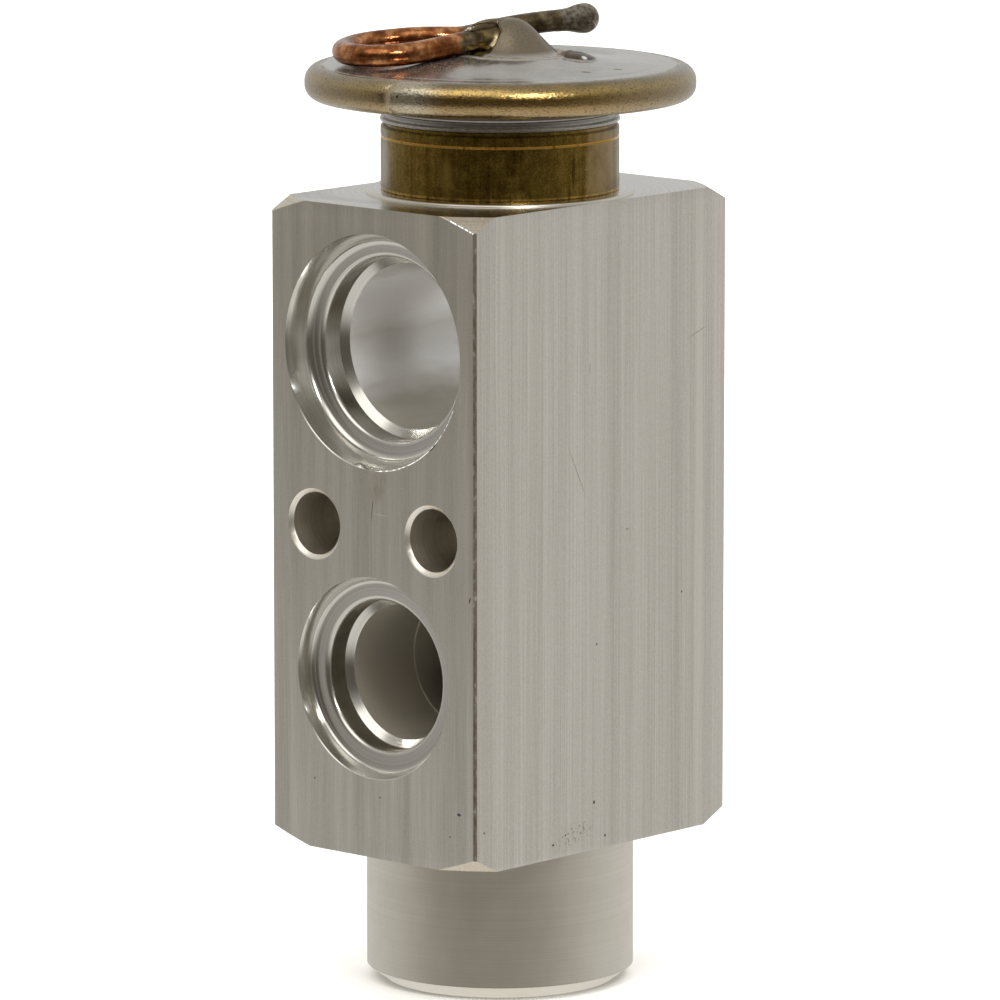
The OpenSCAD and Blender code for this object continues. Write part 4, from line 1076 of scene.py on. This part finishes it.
bmesh.ops.remove_doubles(tube, verts=tube.verts, dist=1e-7)
bmesh.ops.recalc_face_normals(tube, faces=tube.faces)
bpy.data.objects.remove(holder)
print("tube knots:", len(tube_route), "faces:", len(tube.faces))

# %% [markdown]
# The loop is bare copper, which has gone red and brown in the air. Both ends of the tube were
# dipped in tin, which ends in a ragged line. The tin could be a sleeve of its own, but it is
# only a skin, so the colour changes with the place along the photograph's width.

# %% Copper that turns to tin
# glossy and blotched from dark red to pale orange, so that it can only be old copper
copper, tree, shader, place = metal("tarnished_copper_and_tin", 0.17)
to_right = put(tree, "ShaderNodeVectorMath", {"operation": "DOT_PRODUCT"}, {0: place, 1: right}).outputs["Value"]
ragged = grain(tree, place, (0.8, 0.8, 0.8), 3.0)
edge = put(tree, "ShaderNodeMath", {"operation": "MULTIPLY_ADD"}, {0: ragged, 1: 1.4, 2: to_right}).outputs[0]
tinned = shift(tree, edge, 0, 1, -3.7, -3.1)
patches = grain(tree, place, (1.6, 1.6, 1.6), 4.0, 4.0)
red = put(tree, "ShaderNodeValToRGB", {"stops": [(0.32, "66391f"), (0.5, "9c6038"), (0.66, "dba070")]},
          {"Fac": patches}).outputs[0]
tin = put(tree, "ShaderNodeValToRGB", {"stops": [(0.35, "463a2a"), (0.5, "6c5e47"), (0.64, "91846b")]},
          {"Fac": patches}).outputs[0]
tree.links.new(blend(tree, tinned, red, tin), shader.inputs["Base Color"])
bump(tree, shader, grain(tree, place, (0.5, 0.5, 0.5), 3.0, 6.0), 0.03)
piece("dressed_tube", tube, [copper], "housing", "charge_tube", sharp=50, slot="charge_tube")

# %% [markdown]
# ## The solder drop
# The end of the tube was closed by dipping it in solder, which drew itself into a drop. The
# drop is one smooth form with the solder that ran along the tube, so it is spun from one
# outline and then laid along the tube. A plain ball would leave a crease that solder never has.

# %% Solder drop on the tube's end
tail_end = on_head(*tube_route[-1])
tail_way = (tail_end - on_head(*tube_route[-2])).normalized()
drop_line = [(0.0, -2.6), (1.21, -2.6), (1.22, -2.0), (1.26, -1.4), (1.35, -0.8), (1.49, -0.2), (1.6, 0.35)]
drop_line += [(1.655 * math.cos(math.radians(a)), 1.0 + 1.655 * math.sin(math.radians(a)))
              for a in (-10, 0, 12, 24, 36, 48, 60, 72, 82)]
drop_line.append((0.0, 2.655))
drop = aimed(lathe([(r * MM, z * MM) for r, z in drop_line], 64, closed=False), tail_end, tail_way)
# glossy and grey with a little brown, as solder looks when it is no longer new
solder, tree, shader, place = metal("pewter_solder", 0.15)
patches = grain(tree, place, (0.6, 0.6, 0.6), 3.0)
colour = put(tree, "ShaderNodeValToRGB", {"stops": [(0.35, "5d5549"), (0.65, "a0988a")]},
             {"Fac": patches}).outputs[0]
tree.links.new(colour, shader.inputs["Base Color"])
bump(tree, shader, patches, 0.03)
piece("dressed_drop", drop, [solder], "housing", "tip_solder", sharp=50, slot="solder")

# %% [markdown]
# ## The brass collar
# The collar is turned from brass and has gone brown in the air. Tarnish runs down in streaks,
# so long upright streaks, blotches and specks are mixed. The CAD solid's shape is right, so
# only its surface is new.

# %% Tarnished brass collar
def dress(name, material):
    """Gives a CAD node its finish."""
    nodes[name].data.materials.clear()
    nodes[name].data.materials.append(material)


# brown and streaked, with a bright line at the groove and a painted reflection along the lower edge, so that the eye
# sees brass under the tarnish
collar_brass, tree, shader, place = metal("tarnished_brass_collar", 0.24)
seat = block_high.z / MM
collar_r, groove = 12.82, seat + 6.95 - 1.17
streaks = grain(tree, place, (0.5, 0.5, 9.0), 3.0, 2.0)
blotches = grain(tree, place, (1.3, 1.3, 1.3), 5.0, 6.0)
specks = grain(tree, place, (0.14, 0.14, 0.14), 2.0, 4.0)
tone = put(tree, "ShaderNodeMix", {"data_type": "FLOAT"}, {"Factor": 0.5, 2: streaks, 3: blotches}).outputs[0]
tone = put(tree, "ShaderNodeMix", {"data_type": "FLOAT"}, {"Factor": 0.45, 2: tone, 3: specks}).outputs[0]
colour = put(tree, "ShaderNodeValToRGB", {"stops": [(0.36, "4d3712"), (0.5, "776028"), (0.64, "a18947")]},
             {"Fac": tone}).outputs[0]

# %% [markdown]
# A broad light band on the right of the collar's front and grey patches at its two edges are painted reflections,
# with a few narrow streaks and a small patch among them; the groove gets a bright line and the lower edge a painted
# reflection of the bright seat. Each patch is a tall soft ellipse on the collar's front, broken up by the same
# blotches as the tarnish, so that it belongs to the metal and isn't a sticker.

# %% Painted reflections and bright lines on the collar
def on_collar(to_right, over_seat):
    """A place on the collar's front, in millimetres right of the middle and over its seat."""
    on_front = on_head(to_right, -math.sqrt(collar_r ** 2 - to_right ** 2), 0) / MM
    return on_front + Vector((0, 0, seat + over_seat - rim_z / MM))


# painted reflections: a light band on the right and grey patches at both edges; the rest are narrow streaks and a
# small patch
streaks_and_painted_reflections = [((10.9, 2.4), (3.1, 3.1, 12.0), "a08862", 0.25), ((-5.6, 2.6), (0.9, 0.9, 3.6), "a98d48", 0.9),
          ((-12.3, 3.4), (2.2, 2.2, 6.0), "b3ab9c", 0.9), ((12.6, 2.4), (1.0, 1.0, 5.0), "9d9688", 0.9),
          ((7.8, 3.0), (0.28, 0.28, 2.6), "382711", 0.6), ((3.6, 1.4), (1.6, 1.6, 1.8), "8f7a34", 0.9)]
for spot, size, code, soft in streaks_and_painted_reflections:
    patch = mark(tree, place, on_collar(*spot), size, (0, 0, 0), soft)
    patch = put(tree, "ShaderNodeMath", {"operation": "MULTIPLY"},
                {0: patch, 1: shift(tree, blotches, 0.45, 0.9)}).outputs[0]
    colour = blend(tree, patch, colour, code)
height = put(tree, "ShaderNodeSeparateXYZ", None, {0: place}).outputs["Z"]
# a bright line at the groove, and a painted reflection of the bright seat along the lower edge
groove_line_and_painted_reflection = largest(tree, [
    put(tree, "ShaderNodeMath", {"operation": "COMPARE"}, {0: height, 1: groove - 0.03, 2: 0.13}).outputs[0],
    put(tree, "ShaderNodeMath", {"operation": "MULTIPLY"}, {
        0: shift(tree, height, 0.75, 0, seat + 0.25, seat + 0.4),
        1: shift(tree, streaks, 0.1, 1, 0.3, 0.62)}).outputs[0]])
groove_line_and_painted_reflection = put(tree, "ShaderNodeMath", {"operation": "MULTIPLY"}, {
    0: groove_line_and_painted_reflection, 1: shift(tree, grain(tree, place, (1.4, 1.4, 9.0), 2.0, 8.0), 1, 0, 0.62, 0.7)}).outputs[0]
colour = blend(tree, groove_line_and_painted_reflection, colour, "e6bf6e")
tree.links.new(colour, shader.inputs["Base Color"])
tree.links.new(shift(tree, blotches, 0.2, 0.32), shader.inputs["Roughness"])
bump(tree, shader, tone, 0.02)
dress("neck_collar", collar_brass)
print("collar groove at", round(groove, 2), "mm")

# %% [markdown]
# ## The steel neck
# The lower shell is drawn from steel and the ring under it is pressed on. Both shine through coarse turning rings,
# which give a bright line with darker ones above it. The part just under the rim is painted darker still, as painted
# shade.

# %% Ringed steel neck
# shiny with coarse rings, drawn coarser than real, so that the light breaks into short lines
neck_steel, tree, shader, place = metal("ringed_steel_neck", 0.2)
rings = grain(tree, round_place(tree, place, 2), (1.2, 9, 0.16), 2.0, 3.0)
bites = grain(tree, place, (0.5, 0.5, 0.2), 4.0, 7.0)
tone = put(tree, "ShaderNodeMix", {"data_type": "FLOAT"}, {"Factor": 0.4, 2: rings, 3: bites}).outputs[0]
colour = put(tree, "ShaderNodeValToRGB", {"stops": [(0.34, "97938c"), (0.5, "c0bdb7"), (0.64, "e8e6e2")]},
             {"Fac": tone}).outputs[0]
height = put(tree, "ShaderNodeSeparateXYZ", None, {0: place}).outputs["Z"]
# painted shade: darker towards the top, under the head
painted_shade_under_rim = shift(tree, height, 0.0, 0.75, rim_z / MM - 5.7, rim_z / MM - 5.3)
colour = blend(tree, painted_shade_under_rim, colour, "87827a")
tree.links.new(colour, shader.inputs["Base Color"])
bump(tree, shader, tone, 0.028)
dress("neck_ring", neck_steel)
dress("lower_shell", neck_steel)
print("steel neck: darker above", round(rim_z / MM - 5.7, 2), "mm")

# %% [markdown]
# ## Inside the valve
# These parts hardly show, but each has its own real finish: turned brass and steel keep fine
# rings, ground pins are smooth, spring wire keeps its drawing lines, and seals are black rubber.
# Each could have a cell of its own, but they differ only in numbers, so one table holds them.

# %% Finishes of the inner parts
inner_parts = {
    # material: darker tone, lighter tone, roughness, metallic, grain in mm, parts that wear it
    "pressed_brass": ("8c6f38", "c9a864", 0.28, 1.0, (0.3, 0.3, 0.3), ["diaphragm_pad", "seal_retainer"]),
    "rolled_spring_steel": ("9a9a96", "c6c6c2", 0.22, 1.0, (6.0, 0.2, 0.2), ["diaphragm"]),
    "ground_steel": ("b9b9b4", "dededa", 0.14, 1.0, (0.1, 0.1, 3.0), ["push_pin", "valve_ball"]),
    "turned_bright_rod": ("b5b2a9", "dcd9d0", 0.28, 1.0, (3.0, 3.0, 0.15), ["sensing_rod"]),
    "turned_dull_steel": ("96948c", "c0beb6", 0.34, 1.0, (3.0, 3.0, 0.2), ["ball_carrier", "adjusting_screw"]),
    "drawn_spring_wire": ("6f6f6b", "a4a4a0", 0.3, 1.0, (0.6, 0.6, 0.15), ["valve_spring"]),
    "black_rubber": ("1c1c1f", "343438", 0.55, 0.0, (0.3, 0.3, 0.3), ["head_seal", "pin_seal", "screw_seal"]),
}
# brass gives the eye a warm glow, ground steel a sharp one, dull steel none, and rubber swallows it
for title, (dark, light, rough, metallic, size, wearers) in inner_parts.items():
    finish, tree, shader, place = metal(title, rough, metallic)
    tone = grain(tree, place, size, 3.0, 1.0)
    tree.links.new(blend(tree, shift(tree, tone, 0, 1), dark, light), shader.inputs["Base Color"])
    bump(tree, shader, tone, 0.01)
    for name in wearers:
        dress(name, finish)
print("inner finishes:", len(inner_parts))
